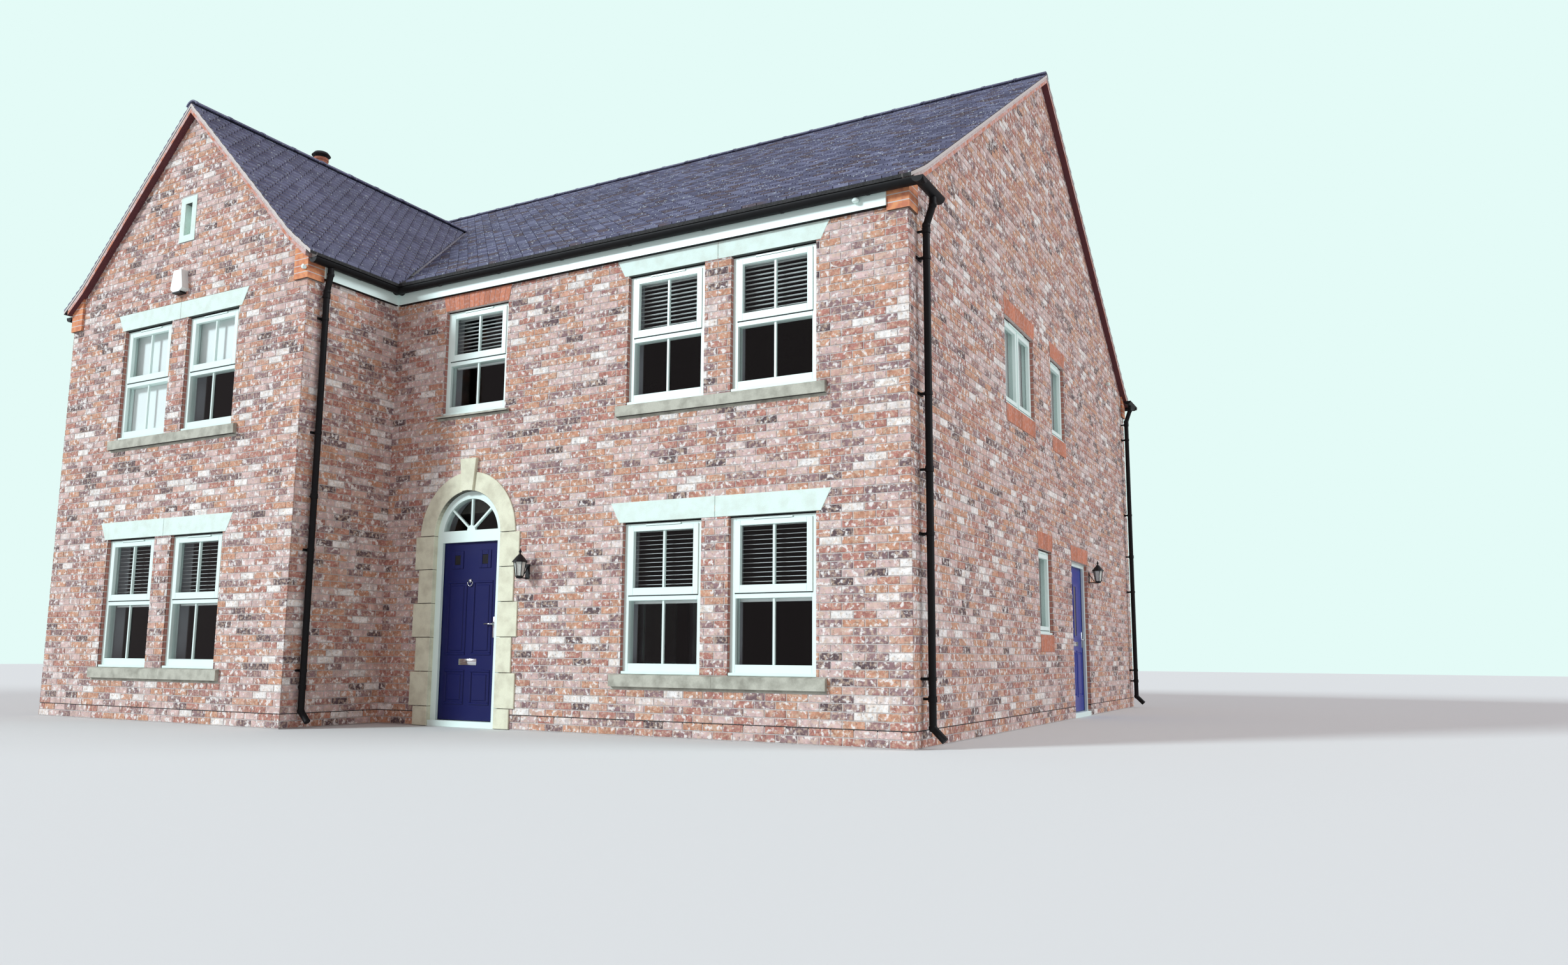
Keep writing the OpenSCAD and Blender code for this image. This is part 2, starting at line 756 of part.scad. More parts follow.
// A downpipe on the wall at x: it hangs from the gutter at the distance high,
// runs down at the distance low, and s is the side of the wall that it is on
module downpipe(x, y, s, high, low) {
    top = [x + s * high, y, gutter_z - gutter_r];
    neck = top - [0, 0, outlet_h];
    bend = [x + s * low, y, neck[2] - neck_h];
    foot = [bend[0], y, shoe_z];
    for (p = [[top, neck], [neck, bend], [bend, foot],
              [foot, foot + [s * shoe_out, 0, -shoe_out]]])
        bar(p[0], p[1], pipe_r);
    for (p = [neck, bend, foot]) translate(p) sphere(pipe_r + socket_t);
    for (z = [bend[2] - strap_h, (bend[2] + shoe_z) / 2, shoe_z + 5 * strap_h]) {
        translate([bend[0], y, z - strap_h / 2])
            cylinder(h = strap_h, r = pipe_r + socket_t);
        bar([x, y, z], [bend[0], y, z], strap_h / 4);
    }
}
module downpipes() color("#17181a") {
    downpipe(x_w, y_w + wing_pipe_y, 1, gutter_off, wing_pipe_off);
    downpipe(x_l, y_w + wing_pipe_y, -1, gutter_off, wing_pipe_off);
    downpipe(x_r, y_f + front_pipe_y, 1, return_off, pipe_off);
    downpipe(x_r, y_b - back_pipe_y, 1, return_off, pipe_off);
    downpipe(x_l, y_b - back_pipe_y, -1, return_off, pipe_off);
}

// Windows, on a face
module frame_ring(c, w, z) {
    difference() {
        block(span(c, w), [recess, recess + frame_d], z);
        block(grow(span(c, w), -frame_w), [recess - CUT, recess + frame_d + CUT],
              grow(z, -frame_w));
    }
}
function mid(z) = (z[0] + z[1]) / 2;
module sash(c, w, z) {
    frame_ring(c, w, z);
    block(grow(span(c, w), -frame_w), [recess + rail_in, recess + frame_d - rail_in],
          span(mid(z), meeting_h));
}
module sash_glass(c, w, z)
    for (p = [[z[0] + frame_w, mid(z) - meeting_h / 2],
              [mid(z) + meeting_h / 2, z[1] - frame_w]])
        block(grow(span(c, w), -frame_w), span(recess + frame_d / 2, glass_t), p);
module casement(c, w, z) {
    frame_ring(c, w, z);
    if (w > mullion_from)
        block(span(c, frame_w), [recess, recess + frame_d], grow(z, -frame_w));
}
module casement_glass(c, w, z) {
    inner = grow(span(c, w), -frame_w);
    halves = w > mullion_from ? [[inner[0], c - frame_w / 2], [c + frame_w / 2, inner[1]]] : [inner];
    for (h = halves)
        block(h, span(recess + frame_d / 2, glass_t), grow(z, -frame_w));
}
GROUND = [ground_sill_z, ground_head_z];
UPPER = [upper_sill_z, upper_head_z];
HALL = [hall_sill_z, upper_head_z];
SIDE = [side_sill_z, upper_head_z];
SIDE_LOW = [side_low_sill_z, ground_head_z];
module front_windows() color("#eef3f5") {
    on_wing() for (u = pair(wing_c), z = [GROUND, UPPER]) sash(u, sash_w, z);
    on_front() {
        for (u = pair(pair_x), z = [GROUND, UPPER]) sash(u, sash_w, z);
        sash(door_x, sash_w, HALL);
    }
}
module side_set() {
    for (s = side_upper) casement(s[0], s[1], SIDE);
    casement(side_low_y, side_low_w, SIDE_LOW);
}
module side_glass_set() {
    for (s = side_upper) casement_glass(s[0], s[1], SIDE);
    casement_glass(side_low_y, side_low_w, SIDE_LOW);
}
module side_windows() color("#eef3f5") on_right() side_set();
module rear_windows() color("#eef3f5") {
    on_back() for (c = back_pairs, u = pair(c), z = [GROUND, UPPER]) sash(u, sash_w, z);
    on_left() side_set();
}
module front_glass() color("#9fb4bd", 0.4) {
    on_wing() for (u = pair(wing_c), z = [GROUND, UPPER]) sash_glass(u, sash_w, z);
    on_front() {
        for (u = pair(pair_x), z = [GROUND, UPPER]) sash_glass(u, sash_w, z);
        sash_glass(door_x, sash_w, HALL);
        at_arch(span(recess + leaf_set, glass_t)) fan_outline(fan_r);
    }
}
module side_glass() color("#9fb4bd", 0.4) on_right() side_glass_set();
module rear_glass() color("#9fb4bd", 0.4) {
    on_back() for (c = back_pairs, u = pair(c), z = [GROUND, UPPER])
        sash_glass(u, sash_w, z);
    on_left() side_glass_set();
}

// Stone and brick dressings
module stone_lintels() color("#cfc3a0") {
    on_wing() pair_lintels(wing_c);
    difference() {
        union() {
            on_front() pair_lintels(pair_x);
            on_back() for (c = back_pairs) pair_lintels(c);
        }
        fascias();
    }
}
module stone_sills() color("#b8ac92") {
    on_wing() pair_sills(wing_c);
    on_front() {
        pair_sills(pair_x);
        hall_sill();
    }
    on_back() for (c = back_pairs) pair_sills(c);
}
module brick_arches() color("#b0553c") {
    difference() {
        on_front() hall_arch();
        fascias();
    }
    on_right() {
        side_arches();
        side_door_arch();
        side_aprons();
    }
    on_left() {
        side_arches();
        side_aprons();
    }
}

// Front door
module door_surround() color("#cfc3a0") on_front() surround(true);
fan_r = door_w / 2 - door_frame_w;
fan_z = door_head_z + transom_h - spring_z;
module fan_outline(r)
    intersection() {
        circle(r, $fn = 96);
        translate([-r, fan_z]) square([2 * r, r]);
    }
lap_w = leaf_lap + leaf_gap;                // rebate in a frame beside the leaf
door_back = recess + leaf_set + leaf_t;     // depth of a frame's back and a leaf's
stop_back = recess + leaf_set - leaf_gap;
// One post of a door frame, with its rebate
module door_post(c, w, side, face, top) {
    outer = c + side * w / 2;
    for (p = [[face, recess, stop_back], [face - lap_w, stop_back, door_back]]) {
        inner = outer - side * p[0];
        block([min(outer, inner), max(outer, inner)], [p[1], p[2]], [slab_t, top]);
    }
}
module door_head(c, w, z, top) {
    block(span(c, w), [recess, stop_back], [z, top]);
    block(span(c, w), [stop_back, door_back], [z + lap_w, top]);
}
module threshold(c, w) block(span(c, w), [0, wall_t], [0, slab_t]);
function leaf_w(w, face) = w - 2 * face + 2 * leaf_lap;
// Distance of a hinge line from its door's centre
function hinge_off(w, face) = (leaf_w(w, face) + leaf_gap) / 2;
function hinge_levels(top) = [slab_t + hinge_in, (slab_t + top) / 2, top - hinge_in];
flap_w = 30;                                // reach of a hinge's flap
flap_t = 3;
// Knuckles and flaps about a hinge line, on the side s of it
module knuckles(s, top)
    for (z = hinge_levels(top))
        translate([0, 0, s > 0 ? z + knuckle_gap : z - knuckle_h]) {
            cylinder(h = knuckle_h, r = hinge_r);
            translate([s > 0 ? 0 : -flap_w, -hinge_r, 0]) cube([flap_w, flap_t, knuckle_h]);
        }
module front_door_frame() color("#eef3f5")
    on_front() {
        for (s = [-1, 1]) door_post(door_x, door_w, s, door_frame_w, spring_z);
        difference() {
            union() {
                door_head(door_x, door_w, door_head_z, spring_z);
                at_arch([recess, door_back]) ring_outline(door_w / 2);
            }
            at_arch([recess - CUT, door_back + CUT]) fan_outline(fan_r);
        }
        threshold(door_x, door_w);
        translate([door_x - hinge_off(door_w, door_frame_w), door_back + hinge_r, 0])
            knuckles(-1, door_head_z);
    }
// A leaf about its hinge line, closed along +X
module leaf(w, face, top) {
    translate([leaf_gap / 2, -hinge_r - leaf_t, slab_t + leaf_gap])
        cube([leaf_w(w, face), leaf_t, top + leaf_lap - slab_t - leaf_gap]);
    knuckles(1, top);
}
front_hinge = [door_x - hinge_off(door_w, door_frame_w), y_f + door_back + hinge_r, 0];
side_hinge = [x_r - door_back - hinge_r,
              y_f + side_door_y - hinge_off(side_door_w, side_frame_w), 0];
module front_door() color("#1d2a6b")
    translate(front_hinge) rotate([0, 0, front_door_open])
        leaf(door_w, door_frame_w, door_head_z);

// Side door
side_head_z = spring_z - side_frame_w;
module side_door_frame() color("#eef3f5")
    on_right() {
        for (s = [-1, 1]) door_post(side_door_y, side_door_w, s, side_frame_w, spring_z);
        door_head(side_door_y, side_door_w, side_head_z, spring_z);
        threshold(side_door_y, side_door_w);
        translate([side_door_y - hinge_off(side_door_w, side_frame_w), door_back + hinge_r, 0])
            knuckles(-1, side_head_z);
    }
module side_door() color("#1d2a6b")
    translate(side_hinge) rotate([0, 0, 90 + side_door_open])
        leaf(side_door_w, side_frame_w, side_head_z);

// Fittings
slit = [wing_ridge_z - slit_drop - slit_h, wing_ridge_z - slit_drop];
module slit_cut() block(span(x_wc, slit_w), [-CUT, wall_t + CUT], slit);
module slit_vent() color("#cfc3a0")
    on_wing() difference() {
        block(span(x_wc, slit_w), [-stone_out / 2, wall_t], slit);
        block(span(x_wc, slot_w), [-CUT, stone_d], grow(slit, -slot_margin));
    }
module alarm_box() color("#e8eef0")
    on_wing() translate([x_wc, 0, alarm_z]) along_y([-alarm_d, 0])
        polygon([[-alarm_w / 2, alarm_lip], [-alarm_w / 4, 0], [alarm_w / 4, 0],
                 [alarm_w / 2, alarm_lip], [alarm_top_w / 2, alarm_h],
                 [-alarm_top_w / 2, alarm_h]]);
// A wall lantern: back plate, arm, lamp body, roof and finial
cup_h = 0.08 * lantern_h;
glass_h = 0.47 * lantern_h;
cap_h = 0.25 * lantern_h;
finial_h = lantern_h - cup_h - glass_h - cap_h;
lamp_r = 0.2 * lantern_h;
arm_w = 14;
module lantern() {
    out = lantern_plate_t + lantern_arm + lamp_r;
    block(span(0, lantern_plate_w), [-lantern_plate_t, 0], [0, lantern_h / 2]);
    block(span(0, arm_w), [-out, -lantern_plate_t], [0, arm_w]);
    translate([0, -out, 0]) {
        cylinder(h = cup_h, r = lamp_r * 0.5);
        translate([0, 0, cup_h]) cylinder(h = glass_h, r = lamp_r * 0.72, $fn = 6);
        translate([0, 0, cup_h + glass_h])
            cylinder(h = cap_h, r1 = lamp_r * 1.25, r2 = lamp_r * 0.25, $fn = 24);
        translate([0, 0, lantern_h - finial_h]) cylinder(h = finial_h, r = lamp_r * 0.14);
    }
}
module lanterns() color("#17181a") {
    on_front() translate([door_x + lantern_x, 0, lantern_z]) lantern();
    on_right() translate([side_door_y + side_lantern_y, 0, side_lantern_z]) lantern();
}

// Chimney
module stack_body()
    block(span(stack_x, stack_w), span(y_f + stack_y, stack_d), [stack_foot_z, stack_z]);
// The gap that the stack takes out of the roof and the verge
module stack_notch()
    block([x_l - eaves_over, x_l + stack_w], span(y_f + stack_y, stack_d),
          [stack_foot_z, stack_z]);
module chimney_stack() color(BRICK)
    difference() {
        union() {
            stack_body();
            block(grow(span(stack_x, stack_w), corbel_out),
                  grow(span(y_f + stack_y, stack_d), corbel_out),
                  [stack_z - corbel_drop, stack_z - corbel_drop + course]);
        }
        translate([stack_x, y_f + stack_y, stack_foot_z + wall_t])
            cylinder(h = stack_z, r = pot_r - pot_t);
    }
rim_h = 40;                                 // the roll round the pot's top
rim_out = 10;
leg_r = 8;                                  // the legs that carry the cowl
leg_in = 5;                                 // reach of a leg's foot into the pot
module chimney_pot() color("#b0654a")
    translate([stack_x, y_f + stack_y, stack_z]) {
        difference() {
            union() {
                cylinder(h = pot_h, r1 = pot_r + pot_t, r2 = pot_r);
                translate([0, 0, pot_h - rim_h]) cylinder(h = rim_h, r = pot_r + rim_out);
            }
            translate([0, 0, -CUT]) cylinder(h = pot_h + 2 * CUT, r = pot_r - pot_t);
        }
        for (a = [0 : 90 : 270]) rotate(a)
            translate([pot_r - pot_t / 2, 0, pot_h - leg_in])
                cylinder(h = cowl_gap + leg_in, r = leg_r);
        translate([0, 0, pot_h + cowl_gap])
            cylinder(h = cowl_h, r1 = cowl_r, r2 = cowl_r * 0.75);
    }

front_wall_left();
front_wall_right();
front_wall_over_door();
wing_front_wall();
wing_side_wall();
left_gable_wall();
side_wall_front();
side_wall_back();
side_wall_over_door();
right_gable_wall();
back_wall();
ground_floor();
first_floor();
main_roof_front();
main_roof_back();
wing_roof_left();
wing_roof_right();
ridge_tiles();
valley_lead();
wing_verge();
right_verge();
left_verge();
kneelers();
fascias();
gutters();
downpipes();
front_windows();
side_windows();
rear_windows();
front_glass();
side_glass();
rear_glass();
stone_lintels();
stone_sills();
brick_arches();
door_surround();
front_door_frame();
front_door();
side_door_frame();
side_door();
slit_vent();
alarm_box();
lanterns();
chimney_stack();
chimney_pot();
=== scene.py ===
"""The looks of a detached two-storey brick house with a projecting gabled wing.

Every length is in metres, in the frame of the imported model: +Z is up, the front
looks along -Y and the origin is on the ground at the middle of the plan.
"""

import math

import bpy
import numpy as np
from mathutils import Matrix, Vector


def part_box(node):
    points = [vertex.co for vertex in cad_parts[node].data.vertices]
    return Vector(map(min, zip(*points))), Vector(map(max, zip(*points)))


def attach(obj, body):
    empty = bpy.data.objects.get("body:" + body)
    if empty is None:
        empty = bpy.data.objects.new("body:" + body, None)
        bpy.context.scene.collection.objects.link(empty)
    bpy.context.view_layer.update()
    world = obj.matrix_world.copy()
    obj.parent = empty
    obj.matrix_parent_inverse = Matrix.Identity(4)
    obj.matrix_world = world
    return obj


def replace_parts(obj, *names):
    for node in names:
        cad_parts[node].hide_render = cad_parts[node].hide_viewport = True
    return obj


bl_info = {
    "name": "Detached house looks",
    "version": (1, 0, 0),
    "blender": (4, 5, 0),
    "location": "View3D > Sidebar > House",
    "description": "Brickwork, tiles, windows, doors and finishes of a detached house",
    "category": "Object",
}

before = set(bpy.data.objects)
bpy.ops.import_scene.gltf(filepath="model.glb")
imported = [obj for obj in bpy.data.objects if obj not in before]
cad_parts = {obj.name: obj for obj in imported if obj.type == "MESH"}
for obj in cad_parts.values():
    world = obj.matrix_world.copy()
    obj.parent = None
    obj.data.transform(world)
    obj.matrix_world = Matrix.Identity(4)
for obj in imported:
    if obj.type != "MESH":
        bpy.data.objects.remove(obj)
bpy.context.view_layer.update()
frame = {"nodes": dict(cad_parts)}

MM = 0.001
SEED = 41
HOUSE = "house"
FRONT_LEAF = "front_door_leaf"
SIDE_LEAF = "side_door_leaf"


def edge(node, end, axis):
    """One side of a node's box: end 0 is the lowest corner and 1 the highest."""
    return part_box(node)[end][axis]


# Places of the walls and levels, read from the frame
X_L = edge("back_wall", 0, 0)
X_R = edge("back_wall", 1, 0)
X_W = edge("wing_front_wall", 1, 0)
Y_W = edge("wing_front_wall", 0, 1)
Y_F = edge("front_wall_right", 0, 1)
Y_B = edge("back_wall", 1, 1)
X_WC = (X_L + X_W) / 2
Y_M = (Y_F + Y_B) / 2
WING_W = X_W - X_L
HOUSE_D = Y_B - Y_F
RIDGE_Z = edge("main_roof_front", 1, 2)
WING_RIDGE_Z = edge("wing_roof_right", 1, 2)
FASCIA_Z = edge("fascias", 0, 2)
SOFFIT_Z = edge("fascias", 1, 2)
VERGE_OUT = edge("main_roof_back", 1, 0) - X_R
EAVES_OVER = edge("main_roof_back", 1, 1) - Y_B
STACK_CAP = 30 * MM
STACK_Y = (edge("chimney_stack", 0, 1) + STACK_CAP, edge("chimney_stack", 1, 1) - STACK_CAP)
STACK_FOOT = 5900 * MM

# Sizes of the roof, as the model has them
MAIN_TAN = math.tan(math.radians(34.3))
WING_TAN = math.tan(math.radians(45))
EAVES_Z = WING_RIDGE_Z - WING_TAN * WING_W / 2
EAVES_DROP = 50 * MM
SPROCKET = 250 * MM
TILE_EDGE = 40 * MM
VERGE_BED = 43 * MM
UNDERCLOAK = (36 * MM, 9 * MM)
UNDERCLOAK_OVER = 50 * MM
VALLEY_W = 170 * MM
RIDGE_R = 120 * MM
RIDGE_RISE = 45 * MM
RIDGE_T = 18 * MM
RIDGE_LIP = 40 * MM
TILE_REACH = 1.08
THIN_TILE = 3 * MM
LEAST_TILE = 15 * MM

# Sizes of the openings and their dressings, as the model has them
SASH_W = 940 * MM
PIER_W = 310 * MM
PAIR_W = 2 * SASH_W + PIER_W
GROUND = (605 * MM, 2130 * MM)
UPPER = (3360 * MM, 4745 * MM)
HALL = (3505 * MM, 4745 * MM)
SIDE = (3700 * MM, 4745 * MM)
SIDE_LOW = (1080 * MM, 2130 * MM)
CASEMENTS = (((3665 * MM, 1240 * MM), SIDE), ((5500 * MM, 720 * MM), SIDE),
             ((4605 * MM, 640 * MM), SIDE_LOW))
SIDE_DOOR_AT = (6465 * MM, 940 * MM)
MULLION_FROM = 900 * MM
PAIR_X = X_R - 2025 * MM
DOOR_X = X_W + 1275 * MM
BACK_PAIRS = (X_L + 2240 * MM, X_R - 2240 * MM)
DOOR_W = 980 * MM
SPRING_Z = 2115 * MM
RING_W = 215 * MM
IMPOST_W = 280 * MM
JAMB_STONE_H = 380 * MM
KEY_H = 365 * MM
KEY_W = 240 * MM
KEY_OUT = 45 * MM
STONE_OUT = 20 * MM
DRESS_OUT = 8 * MM
STONE_D = 100 * MM
STONE_ARRIS = 4 * MM
RECESS = 40 * MM
FRAME_W = 62 * MM
FRAME_D = 90 * MM
LINTEL = (210 * MM, 50 * MM, 110 * MM)
BRICK_ARCH = (210 * MM, 10 * MM, 45 * MM)
APRON_H = 210 * MM
SLIT_W = 300 * MM
SILL_H = 150 * MM
SILL_OUT = 50 * MM
SILL_REST = 110 * MM
SILL_DRIP = 28 * MM
SILL_BACK = 6 * MM
SILL_STONE = 1200 * MM
THIN_SILL_H = 60 * MM
THIN_SILL_REST = 70 * MM
DOOR_HEAD_Z = 2035 * MM
TRANSOM_H = 130 * MM
DOOR_FRAME_W = 82 * MM
SIDE_FRAME_W = 60 * MM
LEAF_T = 44 * MM
LEAF_SET = 40 * MM
CORNER = 195 * MM

# How brickwork is cut: the shortest piece laid, the thinnest left under a slope, and how deep a
# brick is set into its mortar. Soldier bricks stand a little out of their solid.
LEAST_CUT = 12 * MM
SLIVER = 4 * MM
SET_IN = 5 * MM
SOLDIER_OUT = 4 * MM

# Sizes of the window frames that only show here
HEAD_W = 50 * MM
FOOT_W = 106 * MM
TRANSOM_W = 62 * MM
TRANSOM_DROP = 30 * MM
STILE_W = 60 * MM
TOP_RAIL_W = 50 * MM
FOOT_RAIL_W = 75 * MM
LAP = 9 * MM
VENT_W = 420 * MM
CASEMENT_RAIL_W = 50 * MM
SASH_OUT = 11 * MM
SASH_IN = 30 * MM
BAR_IN = 6 * MM
JOINT_D = (-4 * MM, 2 * MM)

# Strips along a window frame: their foot and head from one of its levels, and their front and
# back from its face
SUB_SILL = (2 * MM, 30 * MM, -34 * MM, -MM)
VENT = (-38 * MM, -20 * MM, -14 * MM, MM)
VENT_SLOT = (-42 * MM, -38 * MM, -9 * MM, 2 * MM)
# The joint strips are black strips of painted shade: the shadow in the gaps under the sashes and lights, and
# over the heads partly sealant and partly shadow.
HEAD_SEAL_AND_SHADOW = (-13 * MM, 0, *JOINT_D)
SASH_SHADOW_LINE = (-9 * MM, 0, *JOINT_D)
CASEMENT_SILL = (2 * MM, 28 * MM, -30 * MM, -MM)
CASEMENT_VENT = (-40 * MM, -18 * MM, -14 * MM, MM)
CASEMENT_SEAL_AND_SHADOW = (-12 * MM, 0, *JOINT_D)
LIGHT_SHADOW_LINE = (-6 * MM, 0, *JOINT_D)

# Blinds: how far behind the frame they hang, how far they reach past its inner edge and how the
# slats are turned, in degrees. A rail has its foot, its head and half its depth.
SLAT_SET = 35 * MM
ROLLER_SET = 8 * MM
BLIND_PAST = 14 * MM
BLIND_HEAD = 45 * MM
BLIND_TILT = 8
SLAT_T = 2.6 * MM
HEAD_RAIL = (-25 * MM, 20 * MM, 22 * MM)
SLAT_STACK = (-60 * MM, -12 * MM, 18 * MM)
HALL_DROP = 600 * MM
FOOT_GAP = 50 * MM

# The front door's panels and small lights, from its middle, its edge and the ground
FRONT_PANELS = ((240 * MM, 620 * MM), (780 * MM, 1600 * MM))
FRONT_PANEL_ENDS = (45 * MM, 75 * MM)
SMALL_LIGHT_AT = 205 * MM
SMALL_LIGHT_W = 172 * MM
SMALL_LIGHT = (1740 * MM, 1940 * MM)
SMALL_LIGHT_RIM = (44 * MM, 50 * MM, 45 * MM)
KNOCKER_Z = 1600 * MM

# The side door's panels and its tall light
SIDE_PANEL = (260 * MM, 900 * MM)
SIDE_PANEL_ENDS = (40 * MM, 80 * MM)
TALL_LIGHT_W = 170 * MM
TALL_LIGHT = (1080 * MM, 1810 * MM)
TALL_LIGHT_RIM = 25 * MM

# Door furniture: the letter plate's levels; the lock plate's sides, from the leaf's free edge,
# its levels and how far it stands out; and the lever's place from that edge and its level
LETTER_W = 260 * MM
FRONT_FURNITURE = ((670 * MM, 740 * MM), (58 * MM, 26 * MM, 970 * MM, 1200 * MM, 8 * MM),
                   (42 * MM, 1120 * MM))
SIDE_FURNITURE = ((960 * MM, 1020 * MM), (60 * MM, 30 * MM, 940 * MM, 1160 * MM, 7 * MM),
                  (45 * MM, 1050 * MM))

# Gutters, pipes and fittings
GUTTER_OUT = 107 * MM
STRAP_R = 59 * MM
STRAP_EVERY = 800 * MM
CLIP_FIRST = 605 * MM
CLIP_EVERY = 1288 * MM
PIPE_OUT = (62 * MM, 90 * MM)
LANTERN_OUT = 134 * MM
FRONT_LANTERN = (890 * MM, 1590 * MM)
SIDE_LANTERN = (585 * MM, 1865 * MM)
FRONT_SENSOR = (485 * MM, 5000 * MM)
GABLE_SENSOR = (8750 * MM, 5160 * MM)
WING_SENSOR = (45 * MM, 5020 * MM)

# The photograph's camera: its place, its lens and sensor in millimetres, its shift, and in
# radians how far it is turned, raised and rolled
CAMERA_AT = (8.96016, -13.43614, 0.79784)
LENS = 25.047
SENSOR = 36
SHIFT = (0.01628, 0.01637)
TURN, RAISE, ROLL = -0.506669, 0.134273, 0.007455
FLOOR_REACH = 60

# Each lamp's strength, the width of its disc and its rotation, both in degrees, and its tint
LAMPS = {
    "soft_sun": (2.95, 12, (64, 0, -38), (0.83, 0.95, 1.0)),
    "side_fill": (1.5, 30, (58, 0, 113), (0.86, 0.95, 1.0)),
}


def linear(text):
    """An sRGB hex colour as linear red, green, blue and alpha.

    A part c is c / 12.92 up to 0.04045, and ((c + 0.055) / 1.055) to the 2.4 above it.
    """
    parts = [int(text[i : i + 2], 16) / 255 for i in (1, 3, 5)]
    return tuple(c / 12.92 if c <= 0.04045 else ((c + 0.055) / 1.055) ** 2.4 for c in parts) + (1,)


def colour(label, about, text):
    """A colour property with its default given as an sRGB hex colour."""
    return bpy.props.FloatVectorProperty(
        name=label, description=about, subtype="COLOR", size=4, min=0, max=1, default=linear(text)
    )


def length(label, about, value):
    """A length property with its default in metres."""
    return bpy.props.FloatProperty(name=label, description=about, unit="LENGTH", min=0, default=value)


class BrickworkSettings(bpy.types.PropertyGroup):
    """Sizes and colours of the facing brickwork."""

    brick_l: length("Brick length", "Length of a stretcher's face", 215 * MM)
    brick_h: length("Brick height", "Height of a brick's face", 65 * MM)
    joint: length("Joint", "Width of the mortar joints", 10 * MM)
    proud: length("Joint depth", "How far a brick's face stands out of its mortar", 5 * MM)
    arris: length("Arris", "Bevel along a brick's edges", 2.5 * MM)
    red: colour("Red", "The commonest brick", "#af776b")
    orange: colour("Orange", "The brighter fired brick", "#c28d72")
    pink: colour("Pink", "The paler sand-faced brick", "#cdb1ad")
    plum: colour("Plum", "The darker fired brick", "#8f7274")
    burnt: colour("Burnt", "The burnt brick", "#5e4c50")
    buff: colour("Buff", "Sand on the bricks' faces", "#d2b9a2")
    pale: colour("Pale", "The lime-bloomed brick", "#ece8e4")
    mortar: colour("Mortar", "Sand and cement mortar", "#cbc3be")
    rubbed: colour("Rubbed brick", "Orange brick of arches and aprons", "#c47a5c")
    kneeler: colour("Kneeler brick", "Light orange brick of the corner blocks", "#e0986a")
    plaster: colour("Plaster", "Painted plaster of the reveals inside", "#c4c6cc")
    # The room colour is painted shade: a deep tone in place of the shade of the unlit rooms.
    room_shade: colour("Room", "Walls of the rooms behind the windows", "#4c4844")


class RoofSettings(bpy.types.PropertyGroup):
    """Sizes and colours of the plain tiling."""

    tile_w: length("Tile width", "Width of a plain tile", 165 * MM)
    gauge: length("Gauge", "Distance from one course to the next", 100 * MM)
    tile_t: length("Tile thickness", "Height of a tile's tail over the course below", 20 * MM)
    gap: length("Gap", "Space between two tiles of a course", 10 * MM)
    ridge_l: length("Ridge tile length", "Length of a half-round ridge tile", 450 * MM)
    slate: colour("Slate-grey tile", "The commonest tile", "#54556e")
    umber: colour("Brown tile", "The browner tile", "#554a52")
    dark: colour("Dark tile", "The darkest tile", "#35343f")
    weathered: colour("Weathered tile", "The bleached tile", "#70738c")
    lichen: colour("Lichen", "Lichen on the tiles", "#b4bcc0")
    lead: colour("Lead", "Weathered lead", "#a9aeb9")


class JoinerySettings(bpy.types.PropertyGroup):
    """Sizes and colours of the windows and doors."""

    slat_pitch: length("Slat pitch", "Distance from one blind slat to the next", 45 * MM)
    slat_w: length("Slat width", "Width of a blind slat", 48 * MM)
    bar_w: length("Bar width", "Width of a glazing bar", 24 * MM)
    frame: colour("Frames", "White window frames", "#e6f9f3")
    blue: colour("Front door blue", "Paint of the front door", "#0f164f")
    side_blue: colour("Side door blue", "Paint of the side door", "#1c2f92")
    glass: colour("Glass", "Tint of the panes", "#f9fbfb")
    stone: colour("Lintel stone", "Cast stone of the lintels", "#def1e9")
    warm_stone: colour("Surround stone", "Cast stone round the front door", "#e6e6cd")
    plastic: colour("Rainwater goods", "Black gutters and pipes", "#0e0e10")


# Materials that are used by more than one operator, by their maker
MADE = {}


def constant(value):
    """A bound or a level that is the same at every place, as a function of an array."""
    return lambda places: np.full(np.shape(places), value)


def shape(points, loops, sizes, tone=None):
    """A surface as plain arrays: its points, the corners of its faces and each face's size."""
    points = np.asarray(points, float).reshape(-1, 3)
    tone = np.zeros(len(points)) if tone is None else np.asarray(tone, float)
    return points, np.asarray(loops, np.int64), np.asarray(sizes, np.int64), tone


def join(shapes):
    """Several shapes as one: each one's corners move on by the points before it."""
    counts = np.cumsum([0] + [len(s[0]) for s in shapes])
    loops = [s[1] + n for s, n in zip(shapes, counts)]
    return tuple(np.concatenate(a) for a in ([s[0] for s in shapes], loops, [s[2] for s in shapes],
                                             [s[3] for s in shapes]))


def loft(levels, tone=None):
    """Closed solids skinned over rings of corners.

    levels has the axes solid, level, corner and XYZ. Corner i of one level joins corner i of
    the next by a quad, and the first and last rings are capped. A ring that runs
    counter-clockwise seen from the last level's side gives faces that point outwards.
    """
    levels = np.asarray(levels, float)
    if levels.ndim == 3:
        levels = levels[None]
    count, rows, corners = levels.shape[:3]
    i = np.arange(corners)
    j = (i + 1) % corners
    low = np.arange(rows - 1)[:, None] * corners
    sides = np.stack([low + i, low + j, low + corners + j, low + corners + i], -1).reshape(-1)
    caps = np.concatenate([i[::-1], (rows - 1) * corners + i])
    one = np.concatenate([sides, caps])
    start = np.arange(count)[:, None] * rows * corners
    sizes = np.concatenate([np.full(corners * (rows - 1), 4), np.full(2, corners)])
    if tone is not None:
        tone = np.repeat(np.asarray(tone, float), rows * corners)
    return shape(levels, (start + one).reshape(-1), np.tile(sizes, count), tone)


